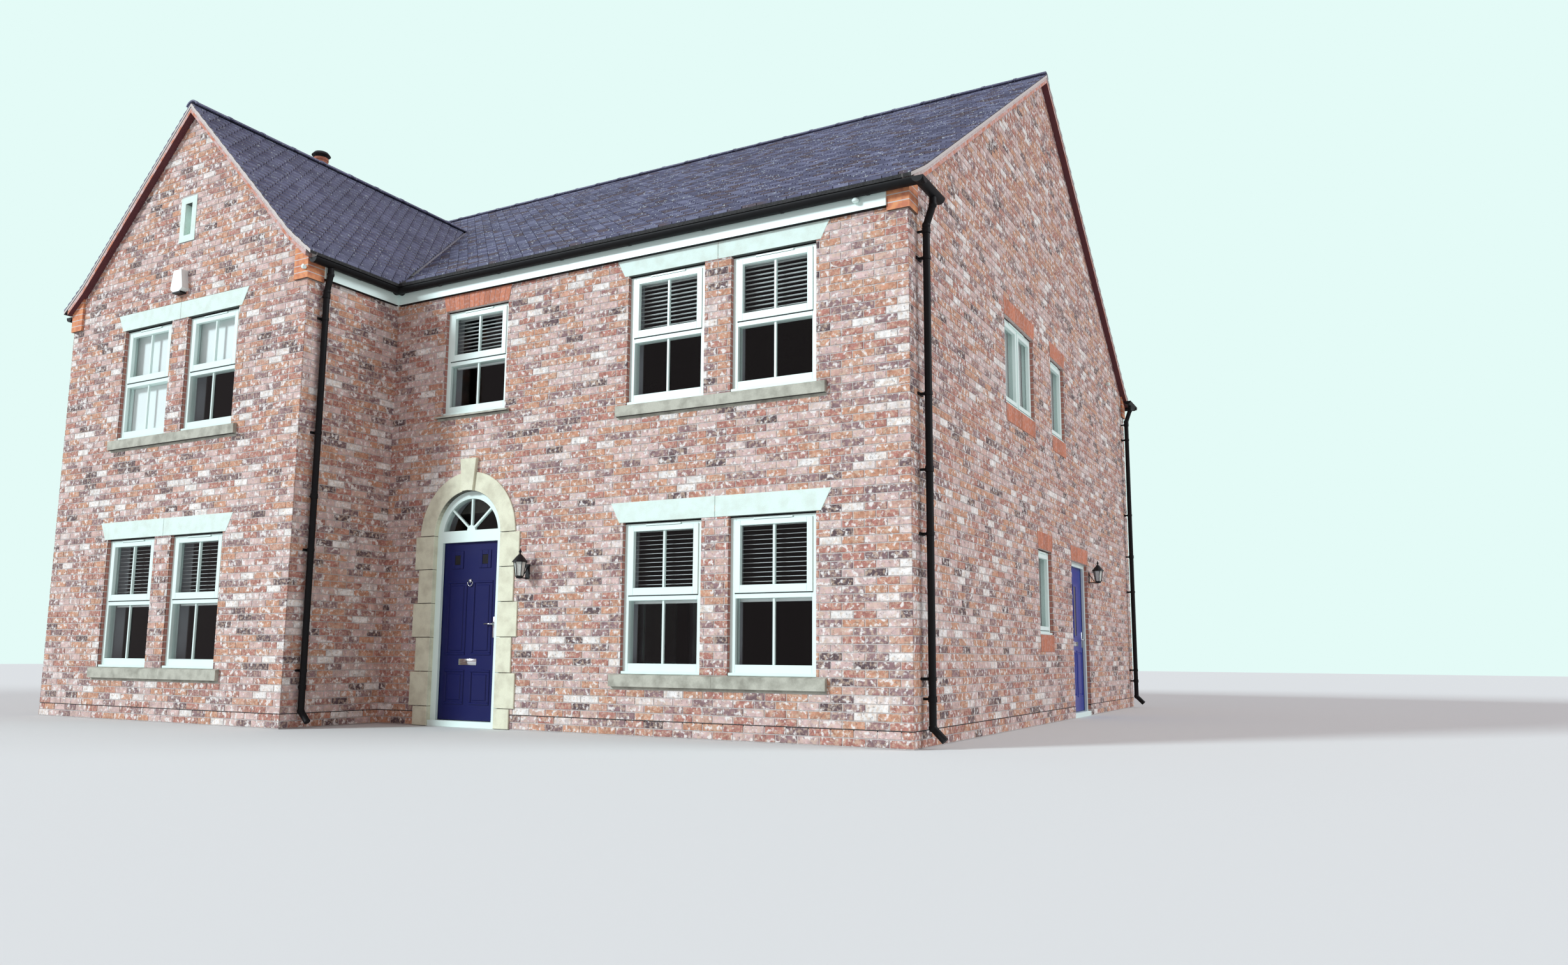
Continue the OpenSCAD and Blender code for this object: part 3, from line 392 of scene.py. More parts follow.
def piece(name, parts, material, body=HOUSE, smooth=False):
    """One object from shapes, riding on its body, with its tone as a point attribute: random, and on roof
    tiles with painted shade in it too.
    """
    points, loops, sizes, tone = join(parts)
    mesh = bpy.data.meshes.new(name)
    mesh.vertices.add(len(points))
    mesh.vertices.foreach_set("co", points.astype(np.float32).reshape(-1))
    mesh.loops.add(len(loops))
    mesh.loops.foreach_set("vertex_index", loops.astype(np.int32))
    mesh.polygons.add(len(sizes))
    mesh.polygons.foreach_set("loop_start", (np.cumsum(sizes) - sizes).astype(np.int32))
    mesh.polygons.foreach_set("use_smooth", np.full(len(sizes), smooth))
    mesh.update(calc_edges=True)
    attribute = mesh.attributes.new("tone", "FLOAT", "POINT")
    attribute.data.foreach_set("value", tone.astype(np.float32))
    mesh.materials.append(material)
    made = bpy.data.objects.new(name, mesh)
    bpy.context.scene.collection.objects.link(made)
    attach(made, body)
    return made


def dress(node, material):
    """Gives a node of the frame its material."""
    mesh = frame["nodes"][node].data
    mesh.materials.clear()
    mesh.materials.append(material)


class Wall:
    """An outside face: u runs along it, d into the wall and z up, seen from outside."""

    def __init__(self, name, origin, along, size):
        self.name = name
        self.origin = np.array([*origin, 0.0])
        self.along = np.array([*along, 0.0])
        self.inward = np.array([-along[1], along[0], 0.0])
        self.size = size

    def place(self, made):
        """Point (u, d, z) goes to origin + u times along + d times inward + z up."""
        p = made[0]
        world = self.origin + p[:, :1] * self.along + p[:, 1:2] * self.inward
        world[:, 2] = p[:, 2]
        return (world,) + made[1:]


WING = Wall("wing", (X_L, Y_W), (1, 0), WING_W)
WING_SIDE = Wall("wing_side", (X_W, Y_W), (0, 1), Y_F - Y_W)
FRONT = Wall("front", (X_W, Y_F), (1, 0), X_R - X_W)
RIGHT = Wall("right_gable", (X_R, Y_F), (0, 1), HOUSE_D)
BACK = Wall("back", (X_R, Y_B), (-1, 0), X_R - X_L)
LEFT = Wall("left_gable", (X_L, Y_B), (0, -1), Y_B - Y_W)


def rings_of(*corners):
    """Corner rings from pairs of arrays: corner k of ring i is (u[i], z[i]) of pair k."""
    return np.stack([np.stack(np.broadcast_arrays(*pair), -1) for pair in corners], 1)


def rectangles(spans):
    """Corner rings (u, z) of rectangles given as rows of u0, u1, z0, z1, lower left first."""
    u0, u1, z0, z1 = np.asarray(spans, float).reshape(-1, 4).T
    return rings_of((u0, z0), (u1, z0), (u1, z1), (u0, z1))


def raised(rings, front, back, arris, tone=None):
    """Blocks that stand on a wall: each ring of (u, z) corners is carried from depth back to
    front + arris, and drawn in by arris, square to its edges, at depth front.

    A corner moves along the sum of its two edges' inward normals over one plus their dot.
    """
    rings = np.asarray(rings, float)
    if rings.ndim == 2:
        rings = rings[None]
    ahead = np.roll(rings, -1, 1) - rings
    sides = np.linalg.norm(ahead, axis=-1)
    normal = np.stack([-ahead[..., 1], ahead[..., 0]], -1) / np.maximum(sides, 1e-9)[..., None]
    before = np.roll(normal, 1, 1)
    turn = (normal + before) / (1 + (normal * before).sum(-1))[..., None].clip(0.2)
    inset = np.minimum(arris, 0.3 * sides.min(1))[:, None, None]
    inner = rings + turn * inset
    depths = (np.full(rings.shape[:2], float(back)), np.full(rings.shape[:2], front + arris),
              np.full(rings.shape[:2], float(front)))
    levels = [np.stack([r[..., 0], d, r[..., 1]], -1)
              for r, d in zip((rings, rings, inner), depths)]
    return loft(np.stack(levels, 1), tone)


def bars(rows, arris=2 * MM):
    """Bevelled bars on a wall, each a row of u0, u1, z0, z1, front, back."""
    rows = np.asarray(rows, float).reshape(-1, 6)
    return join([raised(rectangles(r[:4]), r[4], r[5], arris) for r in rows])


def plate(spans, front, out, arris):
    """Rectangles that stand out from a face at depth front, by out."""
    return raised(rectangles(spans), front - out, front + MM, arris)


def turned(profile, centre, steps=24, flat=False):
    """A turned solid about an upright axis: ring k has radius profile[k][0] at height
    profile[k][1], and its corners lie at equal angles."""
    angle = (np.arange(steps) + (0.5 if flat else 0)) * 2 * np.pi / steps
    radius, height = np.asarray(profile, float).T
    rings = np.stack([centre[0] + radius[:, None] * np.cos(angle),
                      centre[1] + radius[:, None] * np.sin(angle),
                      np.repeat(centre[2] + height[:, None], steps, 1)], -1)
    return loft(rings)


def rod(start, end, radius, steps=12):
    """A round bar: the circle of that radius square to the line, at both ends."""
    start, end = np.asarray(start, float), np.asarray(end, float)
    axis = (end - start) / np.linalg.norm(end - start)
    side = np.cross(axis, [0, 0, 1.0] if abs(axis[2]) < 0.9 else [1.0, 0, 0])
    side /= np.linalg.norm(side)
    up = np.cross(axis, side)
    angle = np.arange(steps)[:, None] * 2 * np.pi / steps
    ring = radius * (np.cos(angle) * side + np.sin(angle) * up)
    return loft(np.stack([start + ring, end + ring]))


# Materials


def add(tree, kind, inputs=None, out=0, stops=None, **settings):
    """Adds a node with its settings, its inputs' values or links and a ramp's stops, and
    returns its output out."""
    node = tree.nodes.new("ShaderNode" + kind)
    for name, value in settings.items():
        setattr(node, name, value)
    for name, value in (inputs or {}).items():
        if isinstance(value, bpy.types.NodeSocket):
            tree.links.new(value, node.inputs[name])
        else:
            node.inputs[name].default_value = value
    if stops:
        ramp = node.color_ramp.elements
        while len(ramp) < len(stops):
            ramp.new(1)
        for element, (place, value) in zip(ramp, stops):
            element.position = place
            element.color = value
    return node.outputs[out]


def blank(name, **sockets):
    """A new material with these values on the sockets of its Principled shader: itself, its
    node tree, that shader and the piece's own coordinates, which its patterns read."""
    material = bpy.data.materials.new(name)
    material.use_nodes = True
    tree = material.node_tree
    shader = tree.nodes["Principled BSDF"]
    for key, value in sockets.items():
        shader.inputs[key.replace("_", " ")].default_value = value
    return material, tree, shader, add(tree, "TexCoord", out="Object")


def grey(value):
    """A grey as linear red, green, blue and alpha."""
    return (value, value, value, 1)


def patches(tree, where, size, detail, low, high, least=0.0, most=1.0):
    """Soft patches about size wide: least where their noise is under low, most over high."""
    noise = add(tree, "TexNoise", {"Vector": where, "Scale": 1 / size, "Detail": detail})
    return add(tree, "MapRange", {"Value": noise, "From Min": low, "From Max": high, "To Min": least,
                                  "To Max": most})


def underside_shade(tree, start, end, most=1.0):
    """How far a face looks down, as a mask for painted shade: nothing while its normal's Z is
    over start, most under end.
    """
    normal = add(tree, "NewGeometry", out="Normal")
    up = add(tree, "SeparateXYZ", {"Vector": normal}, "Z")
    return add(tree, "MapRange", {"Value": up, "From Min": start, "From Max": end, "To Max": most})


def grained(material, tree, shader, where, base, size, depth, detail=2.0):
    """The material with its base colour and a noise about size wide that is raised by depth.

    Real sand and cement grains are under a millimetre, so theirs are drawn coarse enough to show.
    """
    tree.links.new(base, shader.inputs["Base Color"])
    grain = add(tree, "TexNoise", {"Vector": where, "Scale": 1 / size, "Detail": detail})
    tree.links.new(add(tree, "Bump", {"Height": grain, "Distance": depth}), shader.inputs["Normal"])
    return material


def facing_brick(s):
    """Clay stock brick, sand-faced and fired unevenly: matt, each brick another red, with
    darker flecks in it and a pale lime bloom over many."""
    material, tree, shader, where = blank("facing_brick", Roughness=0.9)
    tone = add(tree, "Attribute", out="Fac", attribute_name="tone")
    fired = add(tree, "ValToRGB", {"Fac": tone}, stops=[
        (0.0, s.burnt), (0.03, s.burnt), (0.09, s.plum), (0.18, s.plum), (0.26, s.red), (0.42, s.red),
        (0.5, s.orange), (0.64, s.orange), (0.72, s.pink), (0.93, s.pink), (0.96, s.pale),
        (1.0, s.pale)])
    shade = patches(tree, where, 71.4 * MM, 3.0, 0.35, 0.68, 0.72, 1.2)
    body = add(tree, "Mix", {0: 0.9, 6: fired, 7: shade}, 2, data_type="RGBA", blend_type="MULTIPLY")
    sandy = patches(tree, where, 29.4 * MM, 3.0, 0.46, 0.64, most=0.6)
    buff = add(tree, "Mix", {0: sandy, 6: body, 7: s.buff}, 2, data_type="RGBA")
    bloom = patches(tree, where, 47.6 * MM, 5.0, 0.54, 0.63, most=0.85)
    limed = add(tree, "Mix", {0: bloom, 6: buff, 7: s.pale}, 2, data_type="RGBA")
    flecks = patches(tree, where, 20.83 * MM, 2.0, 0.6, 0.7, most=0.5)
    flecked = add(tree, "Mix", {0: flecks, 6: limed, 7: s.burnt}, 2, data_type="RGBA")
    return grained(material, tree, shader, where, flecked, 5.88 * MM, 1.2 * MM, 4.0)


def wall_body(s):
    """Cement mortar on the outside, brick courses in the reveals, emulsion paint on the plaster
    inside, and a deep tone on the rooms' walls that is painted shade of the unlit rooms, chosen
    by how far a point lies behind the outer faces."""
    material, tree, shader, where = blank("mortar_and_plaster", Roughness=0.93)
    x, y, z = add(tree, "SeparateXYZ", {"Vector": where}).node.outputs
    sides = [add(tree, "Math", {0: a, 1: b}, operation="SUBTRACT")
             for a, b in ((x, X_L), (X_R, x), (y, Y_F), (Y_B, y), (y, Y_W), (X_W, x))]
    main, wing = sides[0], sides[0]
    for side in sides[1:4]:
        main = add(tree, "Math", {0: main, 1: side}, operation="MINIMUM")
    for side in sides[4:]:
        wing = add(tree, "Math", {0: wing, 1: side}, operation="MINIMUM")
    in_wing = add(tree, "Math", {0: y, 1: Y_F + 2 * MM}, operation="LESS_THAN")
    depth = add(tree, "Mix", {0: in_wing, 2: main, 3: wing})
    course = add(tree, "Math", {0: z, 1: s.brick_h + s.joint}, operation="MODULO")
    in_brick = add(tree, "Math", {0: course, 1: s.joint}, operation="GREATER_THAN")
    in_reveal = add(tree, "Math", {0: depth, 1: 3 * MM}, operation="GREATER_THAN")
    row = add(tree, "Math", {0: in_brick, 1: in_reveal}, operation="MULTIPLY")
    sharp = patches(tree, where, 20 * MM, 4.0, 0.3, 0.75, most=0.7)
    sand = add(tree, "Mix", {0: sharp, 6: s.mortar, 7: grey(0.3)}, 2, data_type="RGBA")
    outside = add(tree, "Mix", {0: row, 6: sand, 7: s.red}, 2, data_type="RGBA")
    damp = add(tree, "Math", {0: z, 1: 2 * (s.brick_h + s.joint), 2: 8 * MM}, operation="COMPARE")
    proofed = add(tree, "Mix", {0: damp, 6: outside, 7: grey(0.02)}, 2, data_type="RGBA")
    # Painted shade: the walls deep inside take the room colour, far darker than the plaster.
    room_shade_mask = add(tree, "MapRange", {"Value": depth, "From Min": 0.28, "From Max": 0.295})
    lining = add(tree, "Mix", {0: room_shade_mask, 6: s.plaster, 7: s.room_shade}, 2, data_type="RGBA")
    inside = add(tree, "Math", {0: depth, 1: 125 * MM}, operation="GREATER_THAN")
    both = add(tree, "Mix", {0: inside, 6: proofed, 7: lining}, 2, data_type="RGBA")
    return grained(material, tree, shader, where, both, 4 * MM, 0.8 * MM, 3.0)


def rubbed_brick(s):
    """Soft orange clay brick, rubbed smooth: even in colour and fully matt, with a little
    lime on it."""
    material, tree, shader, where = blank("rubbed_orange_brick", Roughness=0.86)
    tone = add(tree, "Attribute", out="Fac", attribute_name="tone")
    shade = add(tree, "MapRange", {"Value": tone, "To Min": 0.78, "To Max": 1.12})
    body = add(tree, "Mix", {0: 1.0, 6: s.rubbed, 7: shade}, 2, data_type="RGBA", blend_type="MULTIPLY")
    bloom = patches(tree, where, 31.25 * MM, 4.0, 0.48, 0.72, most=0.6)
    limed = add(tree, "Mix", {0: bloom, 6: body, 7: s.pink}, 2, data_type="RGBA")
    return grained(material, tree, shader, where, limed, 4 * MM, 0.6 * MM)


def kneeler_brick(s):
    """Light orange clay brick in level courses with thin mortar joints: matt and soft, with
    painted shade on the faces that look down."""
    material, tree, shader, where = blank("kneeler_brick", Roughness=0.88)
    z = add(tree, "SeparateXYZ", {"Vector": where}, "Z")
    course = add(tree, "Math", {0: z, 1: s.brick_h + s.joint}, operation="MODULO")
    in_joint = add(tree, "Math", {0: course, 1: s.joint}, operation="LESS_THAN")
    fired = patches(tree, where, 62.5 * MM, 4.0, 0.4, 0.62)
    body = add(tree, "Mix", {0: fired, 6: s.kneeler, 7: s.rubbed}, 2, data_type="RGBA")
    jointed = add(tree, "Mix", {0: in_joint, 6: body, 7: s.mortar}, 2, data_type="RGBA")
    # Painted shade: the faces that look down are darkened near to black.
    under = underside_shade(tree, -0.3, -0.8, 0.8)
    under_shaded = add(tree, "Mix", {0: under, 6: jointed, 7: grey(0.05)}, 2, data_type="RGBA")
    return grained(material, tree, shader, where, under_shaded, 5 * MM, 0.8 * MM)


def undercloak_clay(s):
    """Thin clay slips bedded under a verge: orange and matt, with painted shade in dark red where they face
    down.
    """
    material, tree, shader, where = blank("undercloak_clay", Roughness=0.9)
    fired = patches(tree, where, 83.33 * MM, 4.0, 0.38, 0.64)
    body = add(tree, "Mix", {0: fired, 6: s.rubbed, 7: s.pink}, 2, data_type="RGBA")
    # Painted shade: dark red where the slips face down.
    under = underside_shade(tree, -0.2, -0.5)
    lower = add(tree, "Mix", {0: under, 6: body, 7: linear("#5e3236")}, 2, data_type="RGBA")
    tree.links.new(lower, shader.inputs["Base Color"])
    return material


def cast_stone(name, base, stain, stained=0.3):
    """Cast stone, moulded from crushed limestone: matt and fine-grained, a little dirty in
    patches, and near black with painted shade on its undersides."""
    material, tree, shader, where = blank(name, Roughness=0.82)
    shade = patches(tree, where, 6.25 * MM, 4.0, 0.35, 0.7, 0.9, 1.05)
    body = add(tree, "Mix", {0: 1.0, 6: base, 7: shade}, 2, data_type="RGBA", blend_type="MULTIPLY")
    patch = patches(tree, where, 125 * MM, 6.0, 0.42, 0.7, most=stained)
    weathered = add(tree, "Mix", {0: patch, 6: body, 7: stain}, 2, data_type="RGBA")
    # Painted shade: the undersides are darkened near to black.
    under = underside_shade(tree, -0.3, -0.8, 0.92)
    under_shaded = add(tree, "Mix", {0: under, 6: weathered, 7: grey(0.02)}, 2, data_type="RGBA")
    return grained(material, tree, shader, where, under_shaded, 4 * MM, 0.7 * MM, 5.0)


def plain_tile(s):
    """Concrete plain tile, sand-faced and weathered: matt, each tile a little different, with
    painted shade across each laid tile and towards its head, and pale lichen spots."""
    material, tree, shader, where = blank("concrete_plain_tile", Roughness=0.8)
    # The tone attribute carries the laid tiles' painted shade as well as their random tone.
    tone = add(tree, "Attribute", out="Fac", attribute_name="tone")
    base = add(tree, "ValToRGB", {"Fac": tone}, stops=[
        (0.0, s.dark), (0.12, s.umber), (0.3, s.umber), (0.4, s.slate), (0.72, s.slate),
        (1.0, s.weathered)])
    shade = patches(tree, where, 625 * MM, 5.0, 0.35, 0.68, 0.84, 1.12)
    body = add(tree, "Mix", {0: 1.0, 6: base, 7: shade}, 2, data_type="RGBA", blend_type="MULTIPLY")
    spots = patches(tree, where, 26.32 * MM, 3.0, 0.62, 0.68, most=0.85)
    grown = add(tree, "Mix", {0: spots, 6: body, 7: s.lichen}, 2, data_type="RGBA")
    return grained(material, tree, shader, where, grown, 5 * MM, MM, 4.0)


def roof_body(s):
    """The roof under its tiles: near black battens and edges, painted shade where they show in
    the gaps between and under the tiles, with brick mortar where the gable wall's plane covers the side."""
    material, tree, shader, where = blank("tile_edges_and_gap_shade", Roughness=0.85)
    apart = add(tree, "SeparateXYZ", {"Vector": where}).node.outputs
    faces = [add(tree, "Math", {0: apart[axis], 1: value, 2: MM}, operation="COMPARE")
             for axis, value in ((0, X_L), (0, X_R), (1, Y_W), (0, X_L - VERGE_OUT), (0, X_R + VERGE_OUT),
                                 (1, Y_W - VERGE_OUT))]
    side = faces[0]
    for face in faces[1:]:
        side = add(tree, "Math", {0: side, 1: face}, operation="MAXIMUM")
    fine = patches(tree, where, 20 * MM, 4.0, 0.35, 0.7)
    # Painted shade: near black where the roof shows between the tiles.
    dark = add(tree, "Mix", {0: fine, 6: grey(0.012), 7: grey(0.04)}, 2, data_type="RGBA")
    both = add(tree, "Mix", {0: side, 6: dark, 7: s.mortar}, 2, data_type="RGBA")
    return grained(material, tree, shader, where, both, 10 * MM, MM)


def lead_sheet(s):
    """Milled lead, weathered to a dull grey patina: soft sheen and pale oxide, mossy at the
    valley's foot."""
    material, tree, shader, where = blank("weathered_lead", Metallic=0.35, Roughness=0.55)
    patina = patches(tree, where, 125 * MM, 5.0, 0.35, 0.7)
    body = add(tree, "Mix", {0: patina, 6: s.lead, 7: linear("#7d828c")}, 2, data_type="RGBA")
    z = add(tree, "SeparateXYZ", {"Vector": where}, "Z")
    low = add(tree, "MapRange", {"Value": z, "From Min": EAVES_Z + 0.35, "From Max": EAVES_Z + 0.75,
                                 "To Min": 0.9, "To Max": 0.0})
    tufts = patches(tree, where, 50 * MM, 3.0, 0.4, 0.6)
    moss = add(tree, "Math", {0: low, 1: tufts}, operation="MULTIPLY")
    mossy = add(tree, "Mix", {0: moss, 6: body, 7: linear("#5c6650")}, 2, data_type="RGBA")
    return grained(material, tree, shader, where, mossy, 200 * MM, 3 * MM, 3.0)


def painted(name, base, roughness, dirt=0.12, depth=0.0, shine=0.5):
    """Paint or moulded plastic: even colour, dulled a little by dirt, with an upright grain
    pressed into it to that depth."""
    material, tree, shader, where = blank(name, Roughness=roughness, Specular_IOR_Level=shine)
    grime = patches(tree, where, 250 * MM, 5.0, 0.4, 0.8, most=dirt)
    dull = add(tree, "Mix", {0: grime, 6: base, 7: linear("#6f6a62")}, 2, data_type="RGBA")
    upright = add(tree, "Mapping", {"Vector": where, "Scale": (1.0, 1.0, 0.08)})
    return grained(material, tree, shader, upright, dull, 12.5 * MM, depth)


def polished_chrome():
    """Chrome plate on brass, polished: a bright metal."""
    return blank("polished_chrome", Base_Color=linear("#d9dcdf"), Metallic=1.0, Roughness=0.16)[0]


def pot_clay():
    """Terracotta, with a dark metal cowl over its mouth: matt, a little sooty."""
    material, tree, shader, where = blank("terracotta", Roughness=0.85)
    soot = patches(tree, where, 40 * MM, 4.0, 0.35, 0.7)
    clay = add(tree, "Mix", {0: soot, 6: linear("#a96a52"), 7: linear("#84513f")}, 2, data_type="RGBA")
    z = add(tree, "SeparateXYZ", {"Vector": where}, "Z")
    high = add(tree, "Math", {0: z, 1: edge("chimney_pot", 1, 2) - 85 * MM}, operation="GREATER_THAN")
    cowled = add(tree, "Mix", {0: high, 6: clay, 7: linear("#1c1c1f")}, 2, data_type="RGBA")
    tree.links.new(cowled, shader.inputs["Base Color"])
    return material


def window_glass(s):
    """Float glass of a sealed double-glazed unit: clear, with the mirror shine of its outer
    face. The inner faces stay without shine, so that the two don't add up."""
    material, tree, shader = blank("float_glass")[:3]
    behind = add(tree, "NewGeometry", out="Backfacing")
    outside = add(tree, "Math", {0: 1.0, 1: behind}, operation="SUBTRACT")
    shine = add(tree, "Fresnel", {"IOR": 1.5})
    share = add(tree, "Math", {0: shine, 1: outside}, operation="MULTIPLY")
    clear = add(tree, "BsdfTransparent", {"Color": s.glass})
    mirror = add(tree, "BsdfGlossy", {"Color": grey(0.55), "Roughness": 0.02})
    surface = add(tree, "MixShader", {0: share, 1: clear, 2: mirror})
    tree.nodes.remove(shader)
    tree.links.new(surface, tree.nodes["Material Output"].inputs["Surface"])
    return material


def speckled(name, a, b, size, roughness=0.9):
    """A plain surface of two near colours in soft grains about size wide: mortar or screed."""
    material, tree, shader, where = blank(name, Roughness=roughness)
    share = patches(tree, where, size, 4.0, 0.35, 0.7)
    mix = add(tree, "Mix", {0: share, 6: linear(a), 7: linear(b)}, 2, data_type="RGBA")
    return grained(material, tree, shader, where, mix, size / 8, MM)


def white_upvc(j):
    """White PVC-U of frames and fascias, extruded: smooth, with a soft shine."""
    return shared(painted, "white_upvc", j.frame, 0.32, 0.05)


def black_rubber():
    """Black rubber seals, and black strips that are painted shade in shadow gaps: matt, with hardly any
    shine.
    """
    return shared(painted, "black_rubber", linear("#0d0e10"), 0.6, 0.0, 0.0, 0.2)


def dark_pane():
    """A door's small pane, painted near black as the shade of the unlit hall behind it: smooth."""
    return shared(painted, "dark_pane", linear("#10151a"), 0.08)


def pointing():
    """Cement pointing between dressings and under verges: matt and sandy."""
    return shared(speckled, "pointing_mortar", "#d5c5c0", "#b3a09b", 30.3 * MM)


def shared(maker, *args):
    """The material of that maker and of its first word, made once and used again."""
    key = (maker.__name__, args[0] if args and isinstance(args[0], str) else "")
    if key not in MADE:
        MADE[key] = maker(*args)
    return MADE[key]


# Brickwork


def verge_top(along_gable, rise):
    """Height of the wall under a verge, at a distance from the eaves wall's face: it rises
    slowly up to the sprocket and at the roof's pitch past it."""
    start = EAVES_Z - EAVES_DROP - TILE_EDGE - VERGE_BED
    slow = (SPROCKET * rise + EAVES_DROP) / (SPROCKET + EAVES_OVER)
    knee = start + (SPROCKET + EAVES_OVER) * slow
    u = np.asarray(along_gable, float)
    return np.where(u < SPROCKET, start + (u + EAVES_OVER) * slow, knee + (u - SPROCKET) * rise)


def gable_top(span, first, rise):
    """The wall's top along a gable of that span which starts at u = first."""
    def top(u):
        u = np.asarray(u, float) - first
        return verge_top(np.minimum(u, span - u), rise) + VERGE_BED / 2
    return top


def left_top(u):
    """Top of the left wall: the main gable first, and then the wing's eaves."""
    gable = gable_top(HOUSE_D, 0.0, MAIN_TAN)(np.minimum(u, HOUSE_D))
    return np.where(np.asarray(u) > HOUSE_D - MM, FASCIA_Z, gable)


def plain_hole(centre, w, z):
    """An opening: half its width at a height, none past its ends."""
    lap = 5 * MM
    return centre, lambda low, high: np.where((high > z[0] + lap) & (low < z[1] - lap), w / 2, -1.0)


def arch_hole(centre):
    """The front doorway, out to the middle of its stones. Over the springing its half width is
    the root of radius squared less height squared."""
    radius = DOOR_W / 2 + RING_W / 2

    def half(low, high):
        over = np.maximum(low - SPRING_Z, 0)
        return np.where(over < radius, np.sqrt(np.maximum(radius**2 - over**2, 0)), -1.0)

    return centre, half


def pair_holes(centre):
    """The four sash windows of a pair on two storeys."""
    return [plain_hole(centre + s * (SASH_W + PIER_W) / 2, SASH_W, z)
            for s in (-1, 1) for z in (GROUND, UPPER)]


def side_holes(place):
    """The casement openings of a gable wall, at place(distance from the front)."""
    return [plain_hole(place(c), w, z) for (c, w), z in CASEMENTS]


def brickwork(wall, s, top, holes, phase, rng, ceiling, end_run=True):
    """Stretcher bond over a wall, as one closed block a brick.

    Course k starts at k times the course height. Its bricks start at whole brick lengths from
    the corner, every second course half a brick back, so the corner shows a header there.
    What lies over an opening is cut off, and a brick under a slope is cut to it. A course's
    reach under a slope is the place where the wall's top first climbs over the course's foot.
    """
    rise = s.brick_h + s.joint
    count = int(round((wall.size + s.joint) / ((s.brick_l + s.joint) / 2)))
    half = (wall.size + s.joint) / count
    rows = np.arange(int(ceiling / rise) + 1)
    row, col = np.meshgrid(rows, np.arange(-1, count, 1), indexing="ij")
    keep = (row + phase + col) % 2 == 0
    row, col = row[keep], col[keep]
    u0 = np.maximum(col * half, 0)
    u1 = np.minimum(col * half + 2 * half - s.joint, wall.size)
    z0 = row * rise + s.joint
    for centre, half_at in holes:
        h = half_at(z0, z0 + s.brick_h)
        lo = np.where(h > 0, centre - h, np.inf)
        hi = np.where(h > 0, centre + h, np.inf)
        left = np.minimum(u1, lo)
        right = np.where(h > 0, np.maximum(u0, hi), np.inf)
        rest = np.where(h > 0, u1, -np.inf)
        u0, u1, z0 = (np.concatenate(a) for a in ((u0, right), (left, rest), (z0, z0)))
        keep = u1 - u0 > LEAST_CUT
        u0, u1, z0 = u0[keep], u1[keep], z0[keep]
    across = np.linspace(0, wall.size, 400)
    tops = top(across)
    reach = np.interp(z0, np.maximum.accumulate(tops), across)
    u0 = np.where(top(u0) < z0, np.maximum(u0, reach), u0)
    reach = np.interp(z0, np.maximum.accumulate(tops[::-1]), across[::-1])
    u1 = np.where(top(u1) < z0, np.minimum(u1, reach), u1)
    keep = (u1 - u0 > LEAST_CUT) & (z0 < tops.max() - 2 * SLIVER)
    u0, u1, z0 = u0[keep], u1[keep], z0[keep]
    if end_run:
        u1 = np.where(u1 > wall.size - MM, wall.size + s.proud, u1)
    z_left = np.clip(top(u0), z0 + SLIVER, z0 + s.brick_h)
    z_right = np.clip(top(u1.clip(0, wall.size)), z0 + SLIVER, z0 + s.brick_h)
    rings = rings_of((u0, z0), (u1, z0), (u1, z_right), (u0, z_left))
    tone = rng.random(len(u0))
    return wall.place(raised(rings, -s.proud, SET_IN, s.arris, tone)), (phase + count + 1) % 2


def flat_arch(centre, w, z, form, s, rng, ceiling=np.inf):
    """A flat arch of soldier bricks: their joints lean so that foot and head share them evenly."""
    height, rest, splay = form
    count = max(int(round((w + 2 * rest) / (s.brick_h + s.joint))), 2)
    share = np.arange(count + 1) / count
    foot = centre + (w + 2 * rest) * (share - 0.5)
    head = centre + (w + 2 * rest + 2 * splay) * (share - 0.5)
    high = min(z + height, ceiling)
    head = foot + (head - foot) * (high - z) / height
    gap = s.joint / 4
    rings = rings_of((foot[:-1] + gap, z + 2 * MM), (foot[1:] - gap, z + 2 * MM),
                     (head[1:] - gap, high - MM), (head[:-1] + gap, high - MM))
    return raised(rings, -DRESS_OUT - SOLDIER_OUT, -DRESS_OUT + MM, 2 * MM, rng.random(count))


def apron(centre, w, sill, s, rng):
    """Bricks on end under a sill."""
    count = int(round(w / (s.brick_h + s.joint)))
    edges = centre + w * (np.arange(count + 1) / count - 0.5)
    gap = s.joint / 4
    rings = rectangles(np.stack([edges[:-1] + gap, edges[1:] - gap, np.full(count, sill - APRON_H),
                                 np.full(count, sill - 4 * MM)], -1))
    return raised(rings, -DRESS_OUT - SOLDIER_OUT, -DRESS_OUT + MM, 2 * MM, rng.random(count))


def on_left(distance):
    """A place on the left wall, from its distance to the main front."""
    return HOUSE_D - distance


